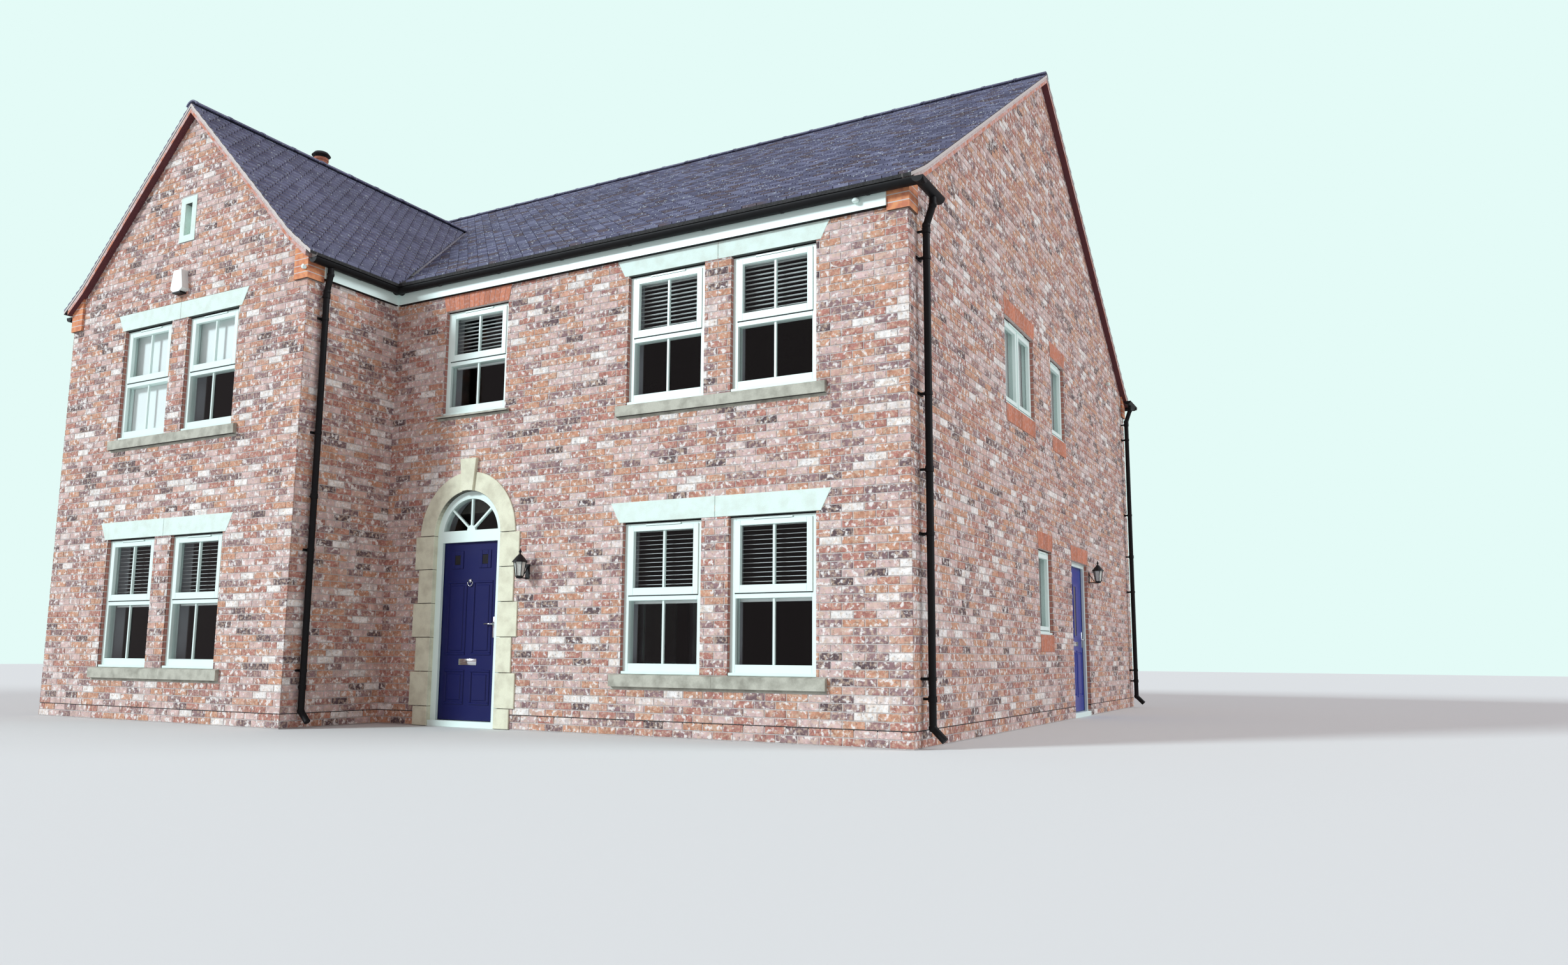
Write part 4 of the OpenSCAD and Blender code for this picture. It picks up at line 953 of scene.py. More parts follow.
class HOUSE_OT_brickwork(bpy.types.Operator):
    """Lays the facing bricks on the six outside faces and finishes the walls behind them."""

    bl_idname = "house.brickwork"
    bl_label = "Brickwork"

    def execute(self, context):
        s = context.scene.house_brickwork
        rng = np.random.default_rng(SEED)
        side = side_holes(lambda c: c) + [plain_hole(*SIDE_DOOR_AT, (0, SPRING_Z))]
        front = pair_holes(PAIR_X - X_W) + [plain_hole(DOOR_X - X_W, SASH_W, HALL), arch_hole(DOOR_X - X_W)]
        slit = plain_hole(WING_W / 2, SLIT_W, (edge("slit_vent", 0, 2), edge("slit_vent", 1, 2)))
        back = [h for c in BACK_PAIRS for h in pair_holes(X_R - c)]
        stack_w = STACK_Y[1] - STACK_Y[0] + 2 * LEAST_CUT
        stack = plain_hole(Y_B - sum(STACK_Y) / 2, stack_w, (STACK_FOOT, RIDGE_Z))
        plan = (
            (WING, gable_top(WING_W, 0.0, WING_TAN), pair_holes(WING_W / 2) + [slit], WING_RIDGE_Z, True),
            (WING_SIDE, constant(SOFFIT_Z), [], SOFFIT_Z, False),
            (FRONT, constant(SOFFIT_Z), front, SOFFIT_Z, True),
            (RIGHT, gable_top(HOUSE_D, 0.0, MAIN_TAN), side, RIDGE_Z, True),
            (BACK, constant(SOFFIT_Z), back, SOFFIT_Z, True),
            (LEFT, left_top, side_holes(on_left) + [stack], RIDGE_Z, True),
        )
        phase = 0
        brick = shared(facing_brick, s)
        for wall, top, holes, ceiling, end_run in plan:
            made, phase = brickwork(wall, s, top, holes, phase, rng, ceiling, end_run)
            piece(wall.name + "_bricks", [made], brick)
        for node in ("front_wall_left", "front_wall_right", "front_wall_over_door", "wing_front_wall",
                     "wing_side_wall", "left_gable_wall", "side_wall_front", "side_wall_back",
                     "side_wall_over_door", "right_gable_wall", "back_wall"):
            dress(node, shared(wall_body, s))
        return {"FINISHED"}


# Stone and brick dressings


def pair_lintel(centre, z, ceiling=np.inf):
    """A splayed lintel in two stones that meet over the pier."""
    height, rest, splay = LINTEL
    high = min(z + height, ceiling)
    head = rest + splay * (high - z) / height
    half = PAIR_W / 2
    gap = 2 * MM
    left = [(-half - rest, z), (-gap, z), (-gap, high), (-half - head, high)]
    right = [(gap, z), (half + rest, z), (half + head, high), (gap, high)]
    return raised(np.array([left, right]) + [centre, 0], -DRESS_OUT, STONE_D, 3 * MM)


def stone_sill(centre, w, z, height, rest):
    """A sill in stones about SILL_STONE long, with a weathered top that falls outwards.

    The top drops by a fifth of the way out, the foot keeps level, and under the nose the stone
    steps back almost to the wall, which keeps that band in shadow.
    """
    count = max(int(round((w + 2 * rest) / SILL_STONE)), 1)
    ends = centre + (w + 2 * rest) * (np.arange(count + 1) / count - 0.5)
    fall = SILL_OUT / 5
    made = []
    for a, b in zip(ends[:-1] + MM, ends[1:] - MM):
        section = [(STONE_D, z - height), (STONE_D, z), (0.0, z), (4 * MM - SILL_OUT, z - fall),
                   (-SILL_OUT, z - fall - 5 * MM), (-SILL_OUT, z - height + SILL_DRIP),
                   (-SILL_BACK, z - height + SILL_DRIP), (-SILL_BACK, z - height)]
        ring = np.array([(0.0, d, h) for d, h in section])
        made.append(loft(np.stack([ring + [b, 0, 0], ring + [a, 0, 0]])))
    return join(made)


def arc_stone(centre, start, end):
    """A stone of the door's arch: the ring between its two radii, from angle start to end."""
    angle = np.linspace(start, end, 16)
    way = np.stack([np.cos(angle), np.sin(angle)], -1)
    inner = DOOR_W / 2
    ring = np.concatenate([centre + (inner + RING_W) * way, centre + inner * way[::-1]])
    return raised(ring, -STONE_OUT, STONE_D, STONE_ARRIS)


def door_surround(centre):
    """Two arch stones, a keystone and the jamb stones down to the ground, wide and narrow."""
    spring = np.array([centre, SPRING_Z])
    inner = DOOR_W / 2
    gap = 2.5 * MM
    key_angle = math.atan2(KEY_W / 2 * 0.78, inner + RING_W * 0.6)
    made = [arc_stone(spring, gap / inner, math.pi / 2 - key_angle),
            arc_stone(spring, math.pi / 2 + key_angle, math.pi - gap / inner)]
    low = SPRING_Z + math.sqrt(inner**2 - (KEY_W / 3) ** 2)
    key = [(centre - KEY_W / 3, low), (centre, SPRING_Z + inner), (centre + KEY_W / 3, low),
           (centre + KEY_W / 2, SPRING_Z + inner + KEY_H), (centre - KEY_W / 2, SPRING_Z + inner + KEY_H)]
    made.append(raised(key, -KEY_OUT, STONE_D, STONE_ARRIS))
    count = math.ceil(SPRING_Z / JAMB_STONE_H)
    rows = []
    for k in range(count):
        high = SPRING_Z - k * JAMB_STONE_H
        low = max(high - JAMB_STONE_H, 0)
        w = IMPOST_W if k % 2 == 0 else RING_W
        for side in (-1, 1):
            ends = sorted((centre + side * inner, centre + side * (inner + w)))
            rows.append((ends[0], ends[1], low + gap, high - gap))
    made.append(raised(rectangles(rows), -STONE_OUT, STONE_D, STONE_ARRIS))
    return join(made)


def undercloak(run, rise):
    """The brick slips under one half of a verge: a band that follows its foot, in a gable's
    own u and z."""
    u = np.array([-UNDERCLOAK_OVER, SPROCKET, run])
    z = verge_top(u, rise)
    lower = np.stack([u, z - UNDERCLOAK[0]], -1)
    upper = np.stack([u, z + UNDERCLOAK[1]], -1)
    ring = np.concatenate([lower, upper[::-1]])
    return raised(ring, -VERGE_OUT + 4 * MM, -4 * MM, MM)


def mirrored(made, span):
    """A shape in (u, d, z) turned round the middle of a gable: u becomes span - u, and each
    face's corners run the other way."""
    points, loops, sizes, tone = made
    turned_points = points * [-1, 1, 1] + [span, 0, 0]
    starts = np.cumsum(sizes) - sizes
    owner = np.repeat(np.arange(len(sizes)), sizes)
    place = np.arange(len(loops)) - starts[owner]
    flipped = loops[starts[owner] + sizes[owner] - 1 - place]
    return turned_points, flipped, sizes, tone


class HOUSE_OT_dressings(bpy.types.Operator):
    """Makes the lintels, sills, arches, aprons, door surround, slit vent and gable edges."""

    bl_idname = "house.dressings"
    bl_label = "Dressings"

    def execute(self, context):
        s = context.scene.house_brickwork
        j = context.scene.house_joinery
        rng = np.random.default_rng(SEED + 1)
        pale = cast_stone("pale_cast_stone", j.stone, linear("#b9bcab"))
        warm = cast_stone("buff_cast_stone", j.warm_stone, linear("#8d8069"))
        lintels, sills = [], []
        pairs = [(WING, WING_W / 2, np.inf), (FRONT, PAIR_X - X_W, FASCIA_Z)]
        pairs += [(BACK, X_R - c, FASCIA_Z) for c in BACK_PAIRS]
        for wall, centre, cap in pairs:
            for z, ceiling in ((GROUND, np.inf), (UPPER, cap)):
                lintels.append(wall.place(pair_lintel(centre, z[1], ceiling)))
                sills.append(wall.place(stone_sill(centre, PAIR_W, z[0], SILL_H, SILL_REST)))
        sills.append(FRONT.place(stone_sill(DOOR_X - X_W, SASH_W, HALL[0], THIN_SILL_H, THIN_SILL_REST)))
        made = piece("lintel_stones", lintels, pale)
        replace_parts(made, "stone_lintels")
        made = piece("sill_stones", sills, cast_stone("weathered_sill_stone", linear("#bcbcae"),
                                                      linear("#7c7a6e"), 0.7))
        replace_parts(made, "stone_sills")
        made = piece("door_stones", [FRONT.place(door_surround(DOOR_X - X_W))], warm)
        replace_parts(made, "door_surround")
        soldiers = [FRONT.place(flat_arch(DOOR_X - X_W, SASH_W, HALL[1], BRICK_ARCH, s, rng, FASCIA_Z)),
                    RIGHT.place(flat_arch(*SIDE_DOOR_AT, SPRING_Z, BRICK_ARCH, s, rng))]
        for wall, place in ((RIGHT, lambda c: c), (LEFT, on_left)):
            for (c, w), z in CASEMENTS:
                soldiers.append(wall.place(flat_arch(place(c), w, z[1], BRICK_ARCH, s, rng)))
                soldiers.append(wall.place(apron(place(c), w, z[0], s, rng)))
        piece("soldier_bricks", soldiers, rubbed_brick(s))
        dress("brick_arches", pointing())
        dress("kneelers", kneeler_brick(s))
        slips = []
        gables = (WING, WING_W, WING_TAN), (RIGHT, HOUSE_D, MAIN_TAN), (LEFT, HOUSE_D, MAIN_TAN)
        for wall, run, rise in gables:
            half = undercloak(run / 2, rise)
            slips += [wall.place(half), wall.place(mirrored(half, run))]
        piece("undercloak", slips, undercloak_clay(s))
        for node in ("wing_verge", "right_verge", "left_verge"):
            dress(node, pointing())
        dress("slit_vent", pale)
        return {"FINISHED"}


# Roof


class Slope:
    """A roof slope: u runs along the eaves, s up the tiles from their edge, and h off them."""

    def __init__(self, corner, along, inward, size, run, rise):
        self.corner = np.array([*corner, 0.0])
        self.along = np.array([*along, 0.0])
        self.inward = np.array([*inward, 0.0])
        self.size = size
        self.run = np.array([0, EAVES_OVER + SPROCKET, EAVES_OVER + run])
        foot = EAVES_Z - EAVES_DROP
        knee = EAVES_Z + SPROCKET * rise
        self.height = np.array([foot, knee, EAVES_Z + run * rise])
        pieces = np.hypot(np.diff(self.run), np.diff(self.height))
        self.up = np.concatenate([[0], np.cumsum(pieces)])
        self.tilt = math.atan(rise)

    def height_at(self, s):
        """Height of the tiles at a distance up them."""
        return np.interp(s, self.up, self.height)

    def at_height(self, z):
        """Distance up the tiles at which they reach a height."""
        return np.interp(z, self.height, self.up)

    def courses(self, gauge, first=0):
        """The numbers of the tile courses from first up to the ridge."""
        return np.arange(first, math.ceil(self.up[-1] / gauge))

    def world(self, u, s, h):
        """Point (u, s, h): corner + u along + run(s) inward, lifted by height(s) and by h over
        the cosine of the pitch."""
        run = np.interp(s, self.up, self.run)
        points = self.corner + u[..., None] * self.along + run[..., None] * self.inward
        points[..., 2] = self.height_at(s) + h / math.cos(self.tilt)
        return points


def tiles(slope, r, low, high, rows, rng, spread=1.0, camber_shade=0.15, wear_and_shade=0.35):
    """Plain tiles in broken bond, each a thin wedge whose tail rests on the course below.

    low(s) and high(s) bound the slope. A tile that a valley crosses is cut along it, and a tail
    that lies wholly past it starts where the valley lets THIN_TILE of it through. The
    tones spread about a half by up to half of spread. Each tile's tone then rises from one side
    to the other, as painted shade, because a tile is a little curved across; and it falls from
    the bleached tail to the head, partly with dirt and partly as painted shade under the next
    tail. The last two arguments set how far.
    """
    count = int(slope.size / r.tile_w) + 3
    row, col = np.meshgrid(rows, np.arange(-1, count), indexing="ij")
    row, col = row.reshape(-1), col.reshape(-1)
    u0 = (col + 0.5 * (row % 2)) * r.tile_w + r.gap / 2
    u1 = u0 + r.tile_w - r.gap
    s0 = row * r.gauge
    s1 = np.minimum(s0 + r.gauge * TILE_REACH, slope.up[-1])
    grid = np.linspace(0, 1, 21)
    way = s0[:, None] + (s1 - s0)[:, None] * grid
    open_low = low(way) < u1[:, None] - THIN_TILE
    open_high = high(way) > u0[:, None] + THIN_TILE
    both = open_low & open_high & (high(way) - low(way) > THIN_TILE)
    first = both.argmax(1)
    s0 = np.where(both.any(1), np.take_along_axis(way, first[:, None], 1)[:, 0], s1)
    last = both.shape[1] - 1 - both[:, ::-1].argmax(1)
    s_end = np.take_along_axis(way, last[:, None], 1)[:, 0]
    keep = both.any(1) & (s_end - s0 > LEAST_TILE)
    row, u0, u1, s0, s_end = (a[keep] for a in (row, u0, u1, s0, s_end))
    share0 = (s0 - row * r.gauge) / (r.gauge * TILE_REACH)
    share1 = (s_end - row * r.gauge) / (r.gauge * TILE_REACH)
    left0, left1 = np.maximum(u0, low(s0)), np.maximum(u0, low(s_end))
    right0, right1 = np.minimum(u1, high(s0)), np.minimum(u1, high(s_end))
    tilt = rng.normal(0, 0.9 * MM, len(u0))
    tail = r.tile_t + (THIN_TILE - r.tile_t) * share0 + tilt
    head = r.tile_t + (THIN_TILE - r.tile_t) * share1
    under = np.full(len(u0), -4 * MM)
    ring_u = np.stack([left0, right0, right1, left1], 1)
    ring_s = np.stack([s0, s0, s_end, s_end], 1)
    lower = slope.world(ring_u, ring_s, np.repeat(under[:, None], 4, 1))
    upper = slope.world(ring_u, ring_s, np.stack([tail, tail, head, head], 1))
    spot = 0.5 + spread * (rng.random(len(u0)) - 0.5)
    points, loops, sizes, tone = loft(np.stack([lower, upper], 1), spot)
    across = np.tile([-0.5, 0.5, 0.5, -0.5], 2 * len(u0))
    along = np.tile([0.5, 0.5, -0.5, -0.5], 2 * len(u0))
    # Painted shade: darker towards one side of each tile, and towards its head under the next tail, where it
    # is partly dirt.
    return points, loops, sizes, tone + camber_shade * across + wear_and_shade * along


def valley_half(slope_height, margin):
    """Half the wing roof's width where it reaches a height, and a margin beside it.

    The wing's foot is flatter, so the lower valley follows that foot's own line.
    """
    knee = EAVES_Z + SPROCKET * WING_TAN
    foot = EAVES_Z - EAVES_DROP
    z = np.asarray(slope_height, float)
    width = np.where(z > knee, (WING_RIDGE_Z - z) / WING_TAN,
                     WING_W / 2 - SPROCKET + (knee - z) / (knee - foot) * (SPROCKET + EAVES_OVER))
    return np.maximum(width, 0) + margin


def main_run(height):
    """How far behind the main front the main roof reaches a height: the wing's tiles end there."""
    knee = EAVES_Z + SPROCKET * MAIN_TAN
    foot = EAVES_Z - EAVES_DROP
    z = np.asarray(height, float)
    return np.where(z > knee, SPROCKET + (z - knee) / MAIN_TAN,
                    -EAVES_OVER + (z - foot) / (knee - foot) * (SPROCKET + EAVES_OVER))


def ridge_line(start, direction, total, r, rng):
    """Half-round ridge tiles: each is an arch carried along the ridge, with a raised lip at one end.

    The arch's angle runs from 62 to -62 degrees off upright on the ridge's own radius, about an
    axis that lies that radius under start.
    """
    count = int(round(total / r.ridge_l))
    step = total / count
    angle = np.radians(np.linspace(62, -62, 17))
    across = np.array([-direction[1], direction[0], 0.0])
    way = np.array([*direction, 0.0])
    axis = np.array(start) - [0, 0, RIDGE_R]
    made = []
    for k in range(count):
        low, high = k * step + 3 * MM, (k + 1) * step - 3 * MM
        rings = []
        for place, sunk in ((low, 0), (low + RIDGE_LIP, 0), (low + RIDGE_LIP, 5 * MM), (high, 7 * MM)):
            radius = RIDGE_R - sunk
            arc = across * (radius * np.sin(angle))[:, None]
            arc[:, 2] = radius * np.cos(angle)
            inner = arc[::-1] * (1 - RIDGE_T / radius)
            rings.append(np.concatenate([arc, inner]) + axis + way * place)
        made.append(loft(np.array(rings)[:, ::-1], [rng.uniform(0.6, 1)]))
    return made


class HOUSE_OT_roof(bpy.types.Operator):
    """Lays the plain tiles, ridge tiles and valley lead."""

    bl_idname = "house.roof"
    bl_label = "Roof"

    def execute(self, context):
        r = context.scene.house_roof
        rng = np.random.default_rng(SEED + 2)
        full = X_R - X_L + 2 * VERGE_OUT
        reach = Y_F + (WING_RIDGE_Z - EAVES_Z) / MAIN_TAN - Y_W + VERGE_OUT
        main = (full, HOUSE_D / 2, MAIN_TAN)
        wing = (reach, WING_W / 2, WING_TAN)
        front = Slope((X_L - VERGE_OUT, Y_F - EAVES_OVER), (1, 0), (0, 1), *main)
        back = Slope((X_R + VERGE_OUT, Y_B + EAVES_OVER), (-1, 0), (0, -1), *main)
        right = Slope((X_W + EAVES_OVER, Y_W - VERGE_OUT), (0, 1), (-1, 0), *wing)
        left = Slope((X_L - EAVES_OVER, Y_W - VERGE_OUT + reach), (0, -1), (1, 0), *wing)
        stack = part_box("chimney_stack")
        near, far = (np.interp(end.y - Y_F + EAVES_OVER, front.run, front.up) for end in stack)
        beside = stack[1].x - front.corner[0] - STACK_CAP + 10 * MM
        middle = X_WC - front.corner[0]
        over = math.ceil(front.at_height(WING_RIDGE_Z) / r.gauge)
        to_front = Y_F - Y_W + VERGE_OUT

        def verge(d):
            """The left end of the front slope's tiles: the verge, or the stack's right side."""
            return np.where((d > near) & (d < far), beside, 0.0)

        def valley(side):
            """The valley's edge to the left (-1) or right (1) of the wing's ridge."""
            return lambda d: middle + side * valley_half(front.height_at(d), VALLEY_W * 0.62)

        made = [
            tiles(front, r, verge, valley(-1), np.arange(over), rng),
            tiles(front, r, valley(1), constant(full), np.arange(over), rng),
            tiles(front, r, verge, constant(full), front.courses(r.gauge, over), rng),
        ]
        tile = shared(plain_tile, r)
        piece("main_front_tiles", made, tile)
        made = tiles(back, r, constant(0.0), constant(full), back.courses(r.gauge), rng)
        piece("main_back_tiles", [made], tile)
        made = tiles(right, r, constant(0.0), lambda d: to_front + main_run(right.height_at(d)),
                     right.courses(r.gauge), rng, 0.35, 0.4, 0.9)
        piece("wing_right_tiles", [made], tile)
        made = tiles(left, r, lambda d: reach - to_front - main_run(left.height_at(d)), constant(reach),
                     left.courses(r.gauge), rng, 0.35, 0.4, 0.9)
        piece("wing_left_tiles", [made], tile)
        caps = ridge_line((X_L - VERGE_OUT, Y_M, RIDGE_Z + RIDGE_RISE), (1, 0), full, r, rng)
        wing_start = (X_WC, Y_W - VERGE_OUT, WING_RIDGE_Z + RIDGE_RISE)
        caps += ridge_line(wing_start, (0, 1), reach + 30 * MM, r, rng)
        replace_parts(piece("ridge_caps", caps, tile), "ridge_tiles")
        for node in ("main_roof_front", "main_roof_back", "wing_roof_left", "wing_roof_right"):
            dress(node, shared(roof_body, context.scene.house_brickwork))
        dress("valley_lead", shared(lead_sheet, r))
        return {"FINISHED"}


# Windows


def framed(u, z, jamb, head, foot, front, back):
    """A frame's four bars as rows for bars(): jambs at full height, head and foot between them."""
    return [(u[0], u[0] + jamb, z[0], z[1], front, back), (u[1] - jamb, u[1], z[0], z[1], front, back),
            (u[0] + jamb, u[1] - jamb, z[1] - head, z[1], front, back),
            (u[0] + jamb, u[1] - jamb, z[0], z[0] + foot, front, back)]


def strip(ends, level, form):
    """A row for bars() between two ends, its heights from a level and its depths from RECESS."""
    low, high, front, back = form
    return (*ends, level + low, level + high, RECESS + front, RECESS + back)


def sash_window(c, z, j):
    """A window with a fixed lower light and a top-hung sash over it, each with one upright bar.

    Returns its white bars, and the dark lines of its head joint, vent and sash joint; those of the joints
    are painted shade, the head's partly sealant.
    """
    w = SASH_W / 2
    back = RECESS + FRAME_D
    left, right = c - w + FRAME_W, c + w - FRAME_W
    transom = (z[0] + z[1]) / 2 - TRANSOM_DROP
    foot = transom + TRANSOM_W - LAP
    high = z[1] - HEAD_W + LAP
    behind = RECESS + SASH_IN
    whole, sash = (c - w, c + w), (left - LAP, right + LAP)
    vent, bar = (c - VENT_W / 2, c + VENT_W / 2), (c - j.bar_w / 2, c + j.bar_w / 2)
    rows = framed(whole, z, FRAME_W, HEAD_W, FOOT_W, RECESS, back)
    rows.append((left, right, transom, transom + TRANSOM_W, RECESS, back))
    rows += framed(sash, (foot, high), STILE_W, TOP_RAIL_W, FOOT_RAIL_W, RECESS - SASH_OUT, behind)
    rows += [
        (*bar, foot + FOOT_RAIL_W, high - TOP_RAIL_W, RECESS + 8 * MM, behind + BAR_IN),
        (*bar, z[0] + FOOT_W, transom, RECESS + 14 * MM, behind + BAR_IN),
        strip(whole, z[0], SUB_SILL),
        strip(vent, z[1], VENT),
    ]
    dark = [strip(whole, z[1], HEAD_SEAL_AND_SHADOW), strip(vent, z[1], VENT_SLOT), strip(sash, foot, SASH_SHADOW_LINE)]
    return bars(rows, 3 * MM), bars(dark, 0.5 * MM)


def casement(c, w, z):
    """A side-hung window with a frame round each light.

    Returns its white bars, and the dark lines over its head and under its lights, which are painted shade,
    the head's partly sealant.
    """
    half = w / 2
    back = RECESS + FRAME_D
    whole = (c - half, c + half)
    left, right = c - half + FRAME_W, c + half - FRAME_W
    rows = framed(whole, z, FRAME_W, FRAME_W, FRAME_W, RECESS, back)
    rows += [strip(whole, z[0], CASEMENT_SILL), strip((c - half / 2, c + half / 2), z[1], CASEMENT_VENT)]
    lights = [(left - LAP, right + LAP)]
    if w > MULLION_FROM:
        near, far = c - FRAME_W / 2, c + FRAME_W / 2
        rows.append((near, far, z[0] + FRAME_W, z[1] - FRAME_W, RECESS, back))
        lights = [(left - LAP, near + LAP), (far - LAP, right + LAP)]
    low, high = z[0] + FRAME_W - LAP, z[1] - FRAME_W + LAP
    dark = [strip(whole, z[1], CASEMENT_SEAL_AND_SHADOW)]
    for light in lights:
        rows += framed(light, (low, high), *[CASEMENT_RAIL_W] * 3, RECESS - SASH_OUT, RECESS + SASH_IN)
        dark.append(strip(light, low, LIGHT_SHADOW_LINE))
    return bars(rows, 3 * MM), bars(dark, 0.5 * MM)


def blind(c, w, z, drop, j):
    """A slatted blind: boxes turned by BLIND_TILT about their length, one every pitch, hung from
    a head rail, with the raised slats in a stack under them."""
    gap = RECESS + FRAME_D + SLAT_SET
    inner = w / 2 - FRAME_W + BLIND_PAST
    high = z[1] - BLIND_HEAD
    level = np.arange(high - 40 * MM, z[1] - drop, -j.slat_pitch)
    turn = math.radians(BLIND_TILT)
    a, b = j.slat_w / 2, SLAT_T / 2
    flat = np.array([(-a, -b), (a, -b), (a, b), (-a, b)])
    section = flat @ np.array([[math.cos(turn), math.sin(turn)], [-math.sin(turn), math.cos(turn)]])
    rings = np.zeros((len(level), 2, 4, 3))
    rings[:, 0, :, 0] = c - inner
    rings[:, 1, :, 0] = c + inner
    rings[..., 1] = gap + section[:, 0]
    rings[..., 2] = level[:, None, None] + section[:, 1]
    rails = [(c - inner, c + inner, at + foot, at + head, gap - half, gap + half)
             for at, (foot, head, half) in ((high, HEAD_RAIL), (z[1] - drop, SLAT_STACK))]
    return join([loft(rings), bars(rails)])


def roller_blind(c, w, z, drop):
    """A plain white blind behind the frame, with its foot at drop under the opening's head."""
    inner = w / 2 - FRAME_W + BLIND_PAST
    gap = RECESS + FRAME_D + ROLLER_SET
    return bars([(c - inner, c + inner, z[1] - drop, z[1] - 40 * MM, gap, gap + 3 * MM)], MM)


def window_list():
    """Every sash window: its wall, its centre on it, its levels, how far its blind is down and
    whether that blind is slatted."""
    step = (SASH_W + PIER_W) / 2
    found = []
    for wall, centre, drops in ((WING, WING_W / 2, ((0.75, 1.33), (0.75, 0.7))),
                                (FRONT, PAIR_X - X_W, ((0.76, 0.62), (0.76, 0.62)))):
        for side, pair in zip((-1, 1), drops):
            for z, drop in zip((GROUND, UPPER), pair):
                found.append((wall, centre + side * step, z, drop, wall is FRONT or z is GROUND))
    found.append((FRONT, DOOR_X - X_W, HALL, HALL_DROP, True))
    for c in BACK_PAIRS:
        for side in (-1, 1):
            for z in (GROUND, UPPER):
                found.append((BACK, X_R - c + side * step, z, z[1] - z[0] - FOOT_GAP, False))
    return found


class HOUSE_OT_windows(bpy.types.Operator):
    """Makes the window frames, glazing bars, vents and blinds."""

    bl_idname = "house.windows"
    bl_label = "Windows"

    def execute(self, context):
        j = context.scene.house_joinery
        blinds, shadow_lines_and_slots, frames = [], [], {"front": [], "rear": [], "side": []}
        for wall, c, z, drop, slatted in window_list():
            bar, shadow_lines_and_slot = sash_window(c, z, j)
            frames["rear" if wall is BACK else "front"].append(wall.place(bar))
            shadow_lines_and_slots.append(wall.place(shadow_lines_and_slot))
            hung = blind(c, SASH_W, z, drop, j) if slatted else roller_blind(c, SASH_W, z, drop)
            blinds.append(wall.place(hung))
        for wall, place, group in ((RIGHT, lambda c: c, "side"), (LEFT, on_left, "rear")):
            for (c, w), z in CASEMENTS:
                bar, shadow_lines_and_slot = casement(place(c), w, z)
                frames[group].append(wall.place(bar))
                shadow_lines_and_slots.append(wall.place(shadow_lines_and_slot))
                blinds.append(wall.place(roller_blind(place(c), w, z, z[1] - z[0] - FOOT_GAP)))
        for group, parts in frames.items():
            made = piece(group + "_window_frames", parts, white_upvc(j))
            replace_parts(made, group + "_windows")
        # The dark lines of the joints are painted shade; the vents' slots are real.
        piece("vent_slots_and_shadow_lines", shadow_lines_and_slots, black_rubber())
        made = piece("window_blinds", blinds, painted("blind_slats", linear("#fdfffd"), 0.5, 0.0))
        for node in ("front_glass", "side_glass", "rear_glass"):
            dress(node, shared(window_glass, j))
        return {"FINISHED"}


# Doors


def moulding(u0, u1, z0, z1, w):
    """Four strips w wide inside a rectangle: foot and head at full width, sides between them."""
    return [(u0, u1, z0, z0 + w), (u0, u1, z1 - w, z1), (u0, u0 + w, z0 + w, z1 - w),
            (u1 - w, u1, z0 + w, z1 - w)]


def panel(u0, u1, z0, z1, front):
    """A raised and fielded panel: a moulding round it, a sunk margin and a raised field."""
    mould = 26 * MM
    inset = mould + 22 * MM
    field = [(u0 + inset, u1 - inset, z0 + inset, z1 - inset)]
    return join([plate(moulding(u0, u1, z0, z1, mould), front, 9 * MM, 6 * MM),
                 plate(field, front, 7 * MM, 6 * MM)])


def fanlight(centre, j):
    """The bars of the half-round light: one upright and two that lean, from a half-round hub."""
    hub = 62 * MM
    foot = DOOR_HEAD_Z + TRANSOM_H
    rim = DOOR_W / 2 - DOOR_FRAME_W + 6 * MM
    made = []
    for lean in (-50, 0, 50):
        t = math.radians(lean)
        way = np.array([math.sin(t), math.cos(t)])
        side = np.array([way[1], -way[0]]) * j.bar_w / 2
        start = np.array([centre, foot])
        end = start + way * (math.sqrt(rim**2 - ((foot - SPRING_Z) * math.sin(t)) ** 2)
                             - (foot - SPRING_Z) * math.cos(t))
        ring = [start - side, start + side, end + side, end - side]
        made.append(raised(np.array(ring), RECESS + 12 * MM, RECESS + LEAF_SET, 2 * MM))
    angle = np.linspace(0, math.pi, 13)
    ring = np.stack([centre + hub * np.cos(angle), foot - MM + hub * np.sin(angle)], -1)
    made.append(raised(ring, RECESS + 8 * MM, RECESS + LEAF_SET, 2 * MM))
    return join(made)


def leaf_furniture(wall, inside, c, w, front, form):
    """A letter plate, a lock plate and a lever on each face of a leaf with its free edge at
    c + w."""
    letter, lock, lever = form
    free = c + w
    at = free - lever[0]
    plates = [plate([(c - LETTER_W / 2, c + LETTER_W / 2, *letter)], front, 6 * MM, 3 * MM),
              plate([(free - lock[0], free - lock[1], lock[2], lock[3])], front, lock[4], 3 * MM)]
    return ([wall.place(made) for made in plates] + handle(wall, at, lever[1], front, -1)
            + handle(inside, inside.size - at, lever[1], 0.0, 1))


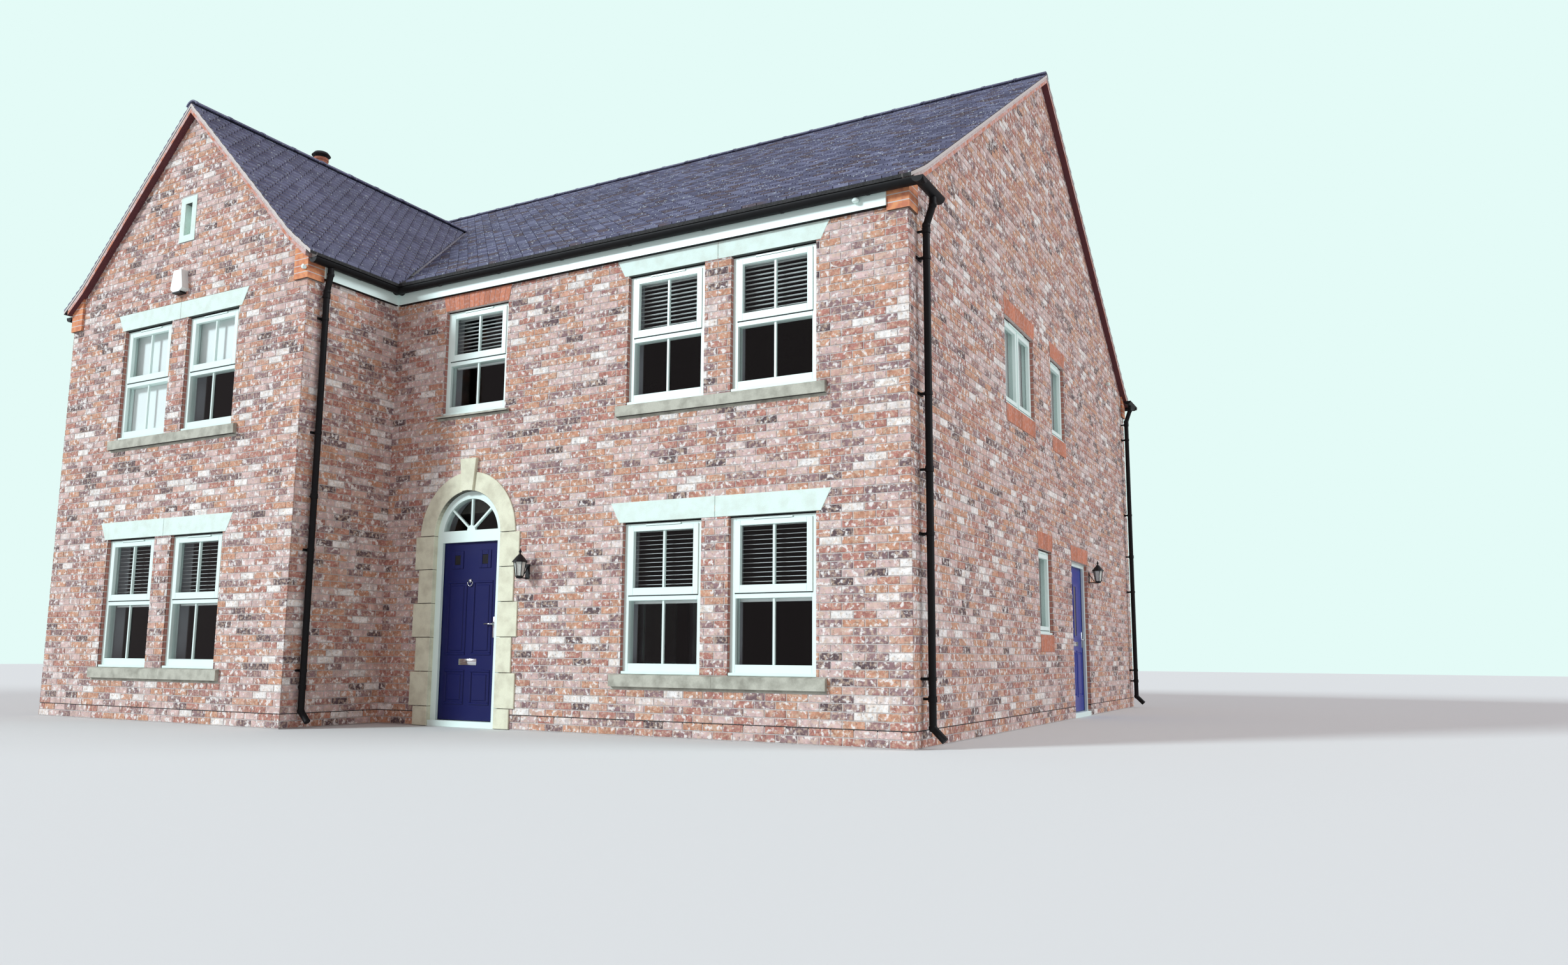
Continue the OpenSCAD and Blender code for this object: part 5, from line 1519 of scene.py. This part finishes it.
class HOUSE_OT_doors(bpy.types.Operator):
    """Finishes both doors, their frames and the fanlight."""

    bl_idname = "house.doors"
    bl_label = "Doors"

    def execute(self, context):
        j = context.scene.house_joinery
        for node in ("front_door_frame", "side_door_frame"):
            dress(node, white_upvc(j))
        made = piece("fanlight_bars", [FRONT.place(fanlight(DOOR_X - X_W, j))], white_upvc(j))
        chrome = polished_chrome()
        self.front_door(painted("front_door_paint", j.blue, 0.3, 0.02, 0.15 * MM, 0.25), chrome)
        self.side_door(painted("side_door_paint", j.side_blue, 0.3, 0.04, 0.15 * MM), chrome)
        return {"FINISHED"}

    def front_door(self, blue, chrome):
        """Panels of the front door on both faces, with two small lights over them."""
        outer = RECESS + LEAF_SET
        c, w = DOOR_X - X_W, DOOR_W / 2 - DOOR_FRAME_W
        inside = Wall("front_leaf_inside", (X_R, Y_F + outer + LEAF_T), (-1, 0), X_R - X_W)
        near, far = FRONT_PANEL_ENDS
        panels, lights = [], []
        for wall, place, front in ((FRONT, lambda u: u, outer), (inside, lambda u: inside.size - u, 0.0)):
            for side in (-1, 1):
                ends = sorted((place(c + side * near), place(c + side * (w - far))))
                panels += [wall.place(panel(*ends, *z, front)) for z in FRONT_PANELS]
                u = place(c + side * SMALL_LIGHT_AT)
                u = (u - SMALL_LIGHT_W / 2, u + SMALL_LIGHT_W / 2)
                jamb, head, foot = SMALL_LIGHT_RIM
                rim = [row[:4] for row in framed(u, SMALL_LIGHT, jamb, head, foot, 0, 0)]
                panels.append(wall.place(plate(rim, front, 8 * MM, 3 * MM)))
                pane = [(u[0] + jamb, u[1] - jamb, SMALL_LIGHT[0] + foot, SMALL_LIGHT[1] - head)]
                lights.append(wall.place(plate(pane, front, 3 * MM, MM)))
        furniture = leaf_furniture(FRONT, inside, c, w, outer, FRONT_FURNITURE)
        furniture += knocker(FRONT, c, KNOCKER_Z, outer)
        self.finish_leaf("front_door", FRONT_LEAF, panels, lights, furniture, blue, chrome)

    def side_door(self, blue, chrome):
        """Panels of the side door on both faces, with a tall narrow light over them."""
        outer = RECESS + LEAF_SET
        c, w = SIDE_DOOR_AT[0], SIDE_DOOR_AT[1] / 2 - SIDE_FRAME_W
        inside = Wall("side_leaf_inside", (X_R - outer - LEAF_T, Y_B), (0, -1), HOUSE_D)
        near, far = SIDE_PANEL_ENDS
        panels, lights = [], []
        for wall, place, front in ((RIGHT, lambda u: u, outer), (inside, lambda u: inside.size - u, 0.0)):
            for side in (-1, 1):
                ends = sorted((place(c + side * near), place(c + side * (w - far))))
                panels.append(wall.place(panel(*ends, *SIDE_PANEL, front)))
            u = (place(c) - TALL_LIGHT_W / 2, place(c) + TALL_LIGHT_W / 2)
            rim = moulding(*u, *TALL_LIGHT, TALL_LIGHT_RIM)
            panels.append(wall.place(plate(rim, front, 8 * MM, 3 * MM)))
            pane = [(u[0] + TALL_LIGHT_RIM, u[1] - TALL_LIGHT_RIM, TALL_LIGHT[0] + TALL_LIGHT_RIM,
                     TALL_LIGHT[1] - TALL_LIGHT_RIM)]
            lights.append(wall.place(plate(pane, front, 3 * MM, MM)))
        furniture = leaf_furniture(RIGHT, inside, c, w, outer, SIDE_FURNITURE)
        self.finish_leaf("side_door", SIDE_LEAF, panels, lights, furniture, blue, chrome)

    def finish_leaf(self, node, body, panels, lights, furniture, blue, chrome):
        """Makes a leaf's three pieces on its own body and paints the leaf."""
        piece(node + "_panels", panels, blue, body)
        piece(node + "_lights", lights, dark_pane(), body)
        piece(node + "_furniture", furniture, chrome, body, True)
        dress(node, blue)


def handle(wall, u, z, front, side):
    """A lever: a rose on the leaf, a neck out of it and a bar along it."""
    neck = wall.place(rod((u, front + MM, z), (u, front - 42 * MM, z), 8 * MM))
    out = front - 38 * MM
    bar = wall.place(rod((u - side * 8 * MM, out, z), (u + side * 110 * MM, out, z), 8 * MM))
    rose = wall.place(rod((u, front + MM, z), (u, front - 9 * MM, z), 22 * MM, 20))
    return [neck, bar, rose]


def knocker(wall, u, z, front):
    """A ring knocker: a boss and a bent bar under it, carried along half a circle."""
    angle = np.linspace(-math.pi, 0, 15)
    radius = 38 * MM
    made = [wall.place(rod((u, front + MM, z), (u, front - 16 * MM, z), 20 * MM, 20))]
    points = np.stack([u + radius * np.cos(angle), np.full(15, front - 12 * MM),
                       z - 12 * MM + 1.2 * radius * np.sin(angle)], -1)
    made += [wall.place(rod(a, b, 5 * MM, 8)) for a, b in zip(points[:-1], points[1:])]
    return made


# Rainwater goods and fittings


def gutter_straps(wall, ends):
    """Brackets round a gutter, about STRAP_EVERY apart: half rings a little wider than it."""
    angle = np.linspace(math.pi, 2 * math.pi, 15)
    outer = STRAP_R * np.stack([np.cos(angle), np.sin(angle)], -1)
    inner = outer[::-1] * (1 - 6 * MM / STRAP_R)
    ring = np.concatenate([outer, inner]) + [2 * MM - GUTTER_OUT, edge("gutters", 1, 2) - MM]
    made = []
    count = max(int((ends[1] - ends[0]) / STRAP_EVERY), 1)
    for u in ends[0] + (np.arange(count) + 0.5) * (ends[1] - ends[0]) / count:
        rings = np.array([[(u + side, d, h) for d, h in ring] for side in (-14 * MM, 14 * MM)])
        made.append(wall.place(loft(rings)))
    return made


def pipe_clip(wall, u, out, z):
    """A pipe's clip: a collar round the pipe and a lug on the wall at each side of it."""
    return [wall.place(rod((u, -out, z - 16 * MM), (u, -out, z + 16 * MM), 39 * MM, 20)),
            wall.place(bars([(u - 62 * MM, u + 62 * MM, z - 13 * MM, z + 13 * MM, -20 * MM, 6 * MM),
                             (u - 14 * MM, u + 14 * MM, z - 12 * MM, z + 12 * MM, -out, -18 * MM)]))]


def lantern(wall, u, z):
    """A wall lantern: a back plate, an arm, a six-sided lamp with a bar at each corner, a
    hipped cap and a finial. Returns its metal and its panes."""
    out = LANTERN_OUT
    centre = (u, -out, z)
    dish = [(6 * MM, -4 * MM), (32 * MM, 0), (38 * MM, 14 * MM), (46 * MM, 26 * MM)]
    metal = [raised(rectangles([(u - 30 * MM, u + 30 * MM, z, z + 160 * MM)]), -10 * MM, 0.0, 3 * MM),
             rod((u, -8 * MM, z + 8 * MM), (u, -out, z + 8 * MM), 7 * MM),
             rod((u, -8 * MM, z + 130 * MM), (u, -out * 0.6, z + 20 * MM), 5 * MM),
             turned(dish, centre, 6, True),
             turned([(84 * MM, 172 * MM), (78 * MM, 184 * MM), (44 * MM, 226 * MM), (20 * MM, 252 * MM),
                     (9 * MM, 258 * MM), (9 * MM, 272 * MM), (16 * MM, 284 * MM), (10 * MM, 298 * MM),
                     (2 * MM, 318 * MM)], centre, 12, True)]
    for angle in (np.arange(6) + 0.5) * math.pi / 3:
        way = np.array([math.cos(angle), math.sin(angle), 0])
        metal.append(rod(centre + 43 * MM * way + [0, 0, 24 * MM], centre + 66 * MM * way + [0, 0, 174 * MM],
                         4 * MM, 8))
    panes = turned([(40 * MM, 26 * MM), (62 * MM, 172 * MM)], centre, 6, True)
    return [wall.place(m) for m in metal], [wall.place(panes)]


def sensor_lights():
    """Three sensor lights: a turned bowl on an arm at the front and at the gable, and two short
    bars on the wing's corner."""
    x, z = X_R - FRONT_SENSOR[0], FRONT_SENSOR[1]
    bowl = [(14 * MM, 0), (30 * MM, 6 * MM), (34 * MM, 22 * MM), (24 * MM, 40 * MM), (6 * MM, 50 * MM)]
    made = [turned(bowl, (x, Y_F - 82 * MM, z)),
            rod((x, Y_F - 50 * MM, z + 30 * MM), (x, Y_F - 84 * MM, z + 30 * MM), 14 * MM)]
    y, z = Y_F + GABLE_SENSOR[0], GABLE_SENSOR[1]
    bowl = [(12 * MM, 0), (28 * MM, 6 * MM), (30 * MM, 40 * MM), (10 * MM, 56 * MM)]
    made += [turned(bowl, (X_R + 44 * MM, y, z)),
             rod((X_R, y, z + 30 * MM), (X_R + 46 * MM, y, z + 30 * MM), 14 * MM)]
    x, z = X_W - WING_SENSOR[0], WING_SENSOR[1]
    made += [rod((x, Y_W, z), (x, Y_W - 40 * MM, z), 24 * MM),
             rod((x, Y_W - 34 * MM, z - 10 * MM), (X_W + 20 * MM, Y_W - 62 * MM, z - 30 * MM), 21 * MM)]
    return made


class HOUSE_OT_fittings(bpy.types.Operator):
    """Finishes gutters, pipes, fascias, alarm box, lanterns and chimney."""

    bl_idname = "house.fittings"
    bl_label = "Fittings"

    def execute(self, context):
        j = context.scene.house_joinery
        s = context.scene.house_brickwork
        black = painted("black_rainwater_pvc", j.plastic, 0.55, 0.02, 0.0, 0.2)
        iron = painted("black_painted_iron", linear("#111114"), 0.5, 0.03, 0.3 * MM, 0.3)
        for node in ("gutters", "downpipes"):
            dress(node, black)
        dress("fascias", white_upvc(j))
        straps = []
        for wall, *ends in ((FRONT, 300 * MM, FRONT.size + 100 * MM), (BACK, 0, BACK.size),
                            (WING_SIDE, 50 * MM, WING_SIDE.size - 100 * MM),
                            (LEFT, HOUSE_D + 50 * MM, LEFT.size - 50 * MM)):
            straps += gutter_straps(wall, ends)
        piece("gutter_brackets", straps, black)
        near, far = PIPE_OUT
        clips = []
        pipes = ((WING_SIDE, 215 * MM, near), (LEFT, LEFT.size - 215 * MM, near), (RIGHT, 240 * MM, far),
                 (RIGHT, HOUSE_D - 220 * MM, far), (LEFT, 220 * MM, far))
        for wall, u, out in pipes:
            for k in range(4):
                clips += pipe_clip(wall, u, out, CLIP_FIRST + CLIP_EVERY * k)
        piece("pipe_clips", clips, black)
        # A black strip under the fascias: painted shade in the gap between fascia and wall.
        strips = ((FRONT, 50 * MM, FRONT.size - CORNER), (WING_SIDE, CORNER, WING_SIDE.size - 50 * MM),
                  (BACK, CORNER, BACK.size - CORNER))
        trim = [wall.place(bars([(a, b, FASCIA_Z - 6 * MM, FASCIA_Z + 5 * MM, -46 * MM, 0)]))
                for wall, a, b in strips]
        piece("fascia_shadow_trim", trim, black_rubber())
        metal, panes = lantern(FRONT, DOOR_X - X_W + FRONT_LANTERN[0], FRONT_LANTERN[1])
        more, glass = lantern(RIGHT, SIDE_DOOR_AT[0] + SIDE_LANTERN[0], SIDE_LANTERN[1])
        made = piece("lantern_metal", metal + more, iron)
        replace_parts(made, "lanterns")
        frosted = speckled("frosted_pane", "#dfe3da", "#c9cfc8", 20 * MM, 0.25)
        piece("lantern_panes", panes + glass, frosted)
        dress("alarm_box", painted("white_alarm_case", linear("#eef2ef"), 0.4))
        low = edge("alarm_box", 0, 2)
        u = (WING_W / 2 - 76 * MM, WING_W / 2 + 76 * MM)
        made = bars([(*u, low - 16 * MM, low + 3 * MM, -86 * MM, -4 * MM)])
        piece("alarm_sounder", [WING.place(made)], iron)
        piece("sensor_lights", sensor_lights(), white_upvc(j))
        self.chimney(s)
        # The screeds' dark greys are partly their own colour and partly painted shade of the unlit rooms.
        for node, a, b in (("ground_floor", "#5d564d", "#4d4740"), ("first_floor", "#6f6a62", "#625d56")):
            dress(node, speckled(node + "_screed", a, b, 50 * MM))
        return {"FINISHED"}

    def chimney(self, s):
        """Bricks round the stack's four sides, a mortar flaunching and the pot."""
        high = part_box("chimney_stack")[1]
        left, right = X_L, high.x - STACK_CAP
        near, far = STACK_Y
        rng = np.random.default_rng(SEED + 3)
        sides = (Wall("stack_front", (left, near), (1, 0), right - left),
                 Wall("stack_right", (right, near), (0, 1), far - near),
                 Wall("stack_back", (right, far), (-1, 0), right - left),
                 Wall("stack_left", (left, far), (0, -1), far - near))
        made, phase = [], 0
        below = plain_hole(0.5, 9.0, (0.0, STACK_FOOT))
        for wall in sides:
            shape_made, phase = brickwork(wall, s, constant(high.z), [below], phase, rng, high.z - 8 * MM)
            made.append(shape_made)
        piece("stack_bricks", made, shared(facing_brick, s))
        bed = bars([(Y_B - far, Y_B - near, STACK_FOOT, verge_top(near - Y_F, MAIN_TAN), -2 * MM, 5 * MM)])
        piece("stack_bed", [LEFT.place(bed)], pointing())
        dress("chimney_stack", pointing())
        dress("chimney_pot", pot_clay())


# Stage


class HOUSE_OT_stage(bpy.types.Operator):
    """Sets the camera, the pale floor and the soft light."""

    bl_idname = "house.stage"
    bl_label = "Stage"

    def execute(self, context):
        scene = context.scene
        camera_data = bpy.data.cameras.new("photo_camera")
        camera_data.lens = LENS
        camera_data.sensor_width = SENSOR
        camera_data.shift_x, camera_data.shift_y = SHIFT
        camera_data.clip_end = 500
        camera = bpy.data.objects.new("photo_camera", camera_data)
        scene.collection.objects.link(camera)
        turn = Matrix.Rotation(-TURN, 4, "Z") @ Matrix.Rotation(math.pi / 2 + RAISE, 4, "X")
        camera.matrix_world = Matrix.Translation(CAMERA_AT) @ turn @ Matrix.Rotation(ROLL, 4, "Z")
        scene.camera = camera
        ground = bpy.data.meshes.new("floor")
        corners = [(x * FLOOR_REACH, y * FLOOR_REACH, -MM) for x, y in ((-1, -1), (1, -1), (1, 1), (-1, 1))]
        ground.from_pydata(corners, [], [(0, 1, 2, 3)])
        floor = bpy.data.objects.new("floor", ground)
        scene.collection.objects.link(floor)
        ground.materials.append(blank("pale_floor", Roughness=0.9, Base_Color=linear("#d8dcdb"))[0])
        world = bpy.data.worlds.new("soft_sky")
        scene.world = world
        world.use_nodes = True
        tree = world.node_tree
        sky = tree.nodes["Background"]
        sky.inputs["Color"].default_value = linear("#f1e2e6")
        sky.inputs["Strength"].default_value = 0.56
        seen = add(tree, "Background", {"Color": linear("#e4fbf7"), "Strength": 1.0})
        ray = add(tree, "LightPath").node.outputs
        through = add(tree, "Math", {0: ray["Is Camera Ray"], 1: ray["Is Transmission Ray"]},
                      operation="MAXIMUM")
        blend = add(tree, "MixShader", {0: through, 1: sky.outputs[0], 2: seen})
        tree.links.new(blend, tree.nodes["World Output"].inputs["Surface"])
        for name, (energy, spread, turn, tint) in LAMPS.items():
            data = bpy.data.lights.new(name, "SUN")
            data.energy = energy
            data.angle = math.radians(spread)
            data.color = tint
            sun = bpy.data.objects.new(name, data)
            scene.collection.objects.link(sun)
            sun.rotation_euler = [math.radians(a) for a in turn]
        scene.view_settings.view_transform = "Standard"
        return {"FINISHED"}


class HOUSE_PT_panel(bpy.types.Panel):
    """Lists the steps that dress the house."""

    bl_idname = "HOUSE_PT_panel"
    bl_label = "House"
    bl_space_type = "VIEW_3D"
    bl_region_type = "UI"
    bl_category = "House"

    def draw(self, context):
        for operator in OPERATORS:
            self.layout.operator(operator.bl_idname)


OPERATORS = (HOUSE_OT_stage, HOUSE_OT_brickwork, HOUSE_OT_dressings, HOUSE_OT_roof, HOUSE_OT_windows,
             HOUSE_OT_doors, HOUSE_OT_fittings)
GROUPS = (BrickworkSettings, RoofSettings, JoinerySettings)


def register():
    for made in GROUPS + OPERATORS + (HOUSE_PT_panel,):
        bpy.utils.register_class(made)
    bpy.types.Scene.house_brickwork = bpy.props.PointerProperty(type=BrickworkSettings)
    bpy.types.Scene.house_roof = bpy.props.PointerProperty(type=RoofSettings)
    bpy.types.Scene.house_joinery = bpy.props.PointerProperty(type=JoinerySettings)


def unregister():
    del bpy.types.Scene.house_joinery
    del bpy.types.Scene.house_roof
    del bpy.types.Scene.house_brickwork
    for made in reversed(GROUPS + OPERATORS + (HOUSE_PT_panel,)):
        bpy.utils.unregister_class(made)


def main():
    register()
    for step in OPERATORS:
        group, name = step.bl_idname.split(".")
        getattr(getattr(bpy.ops, group), name)()
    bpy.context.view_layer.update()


if __name__ == "__main__":
    main()
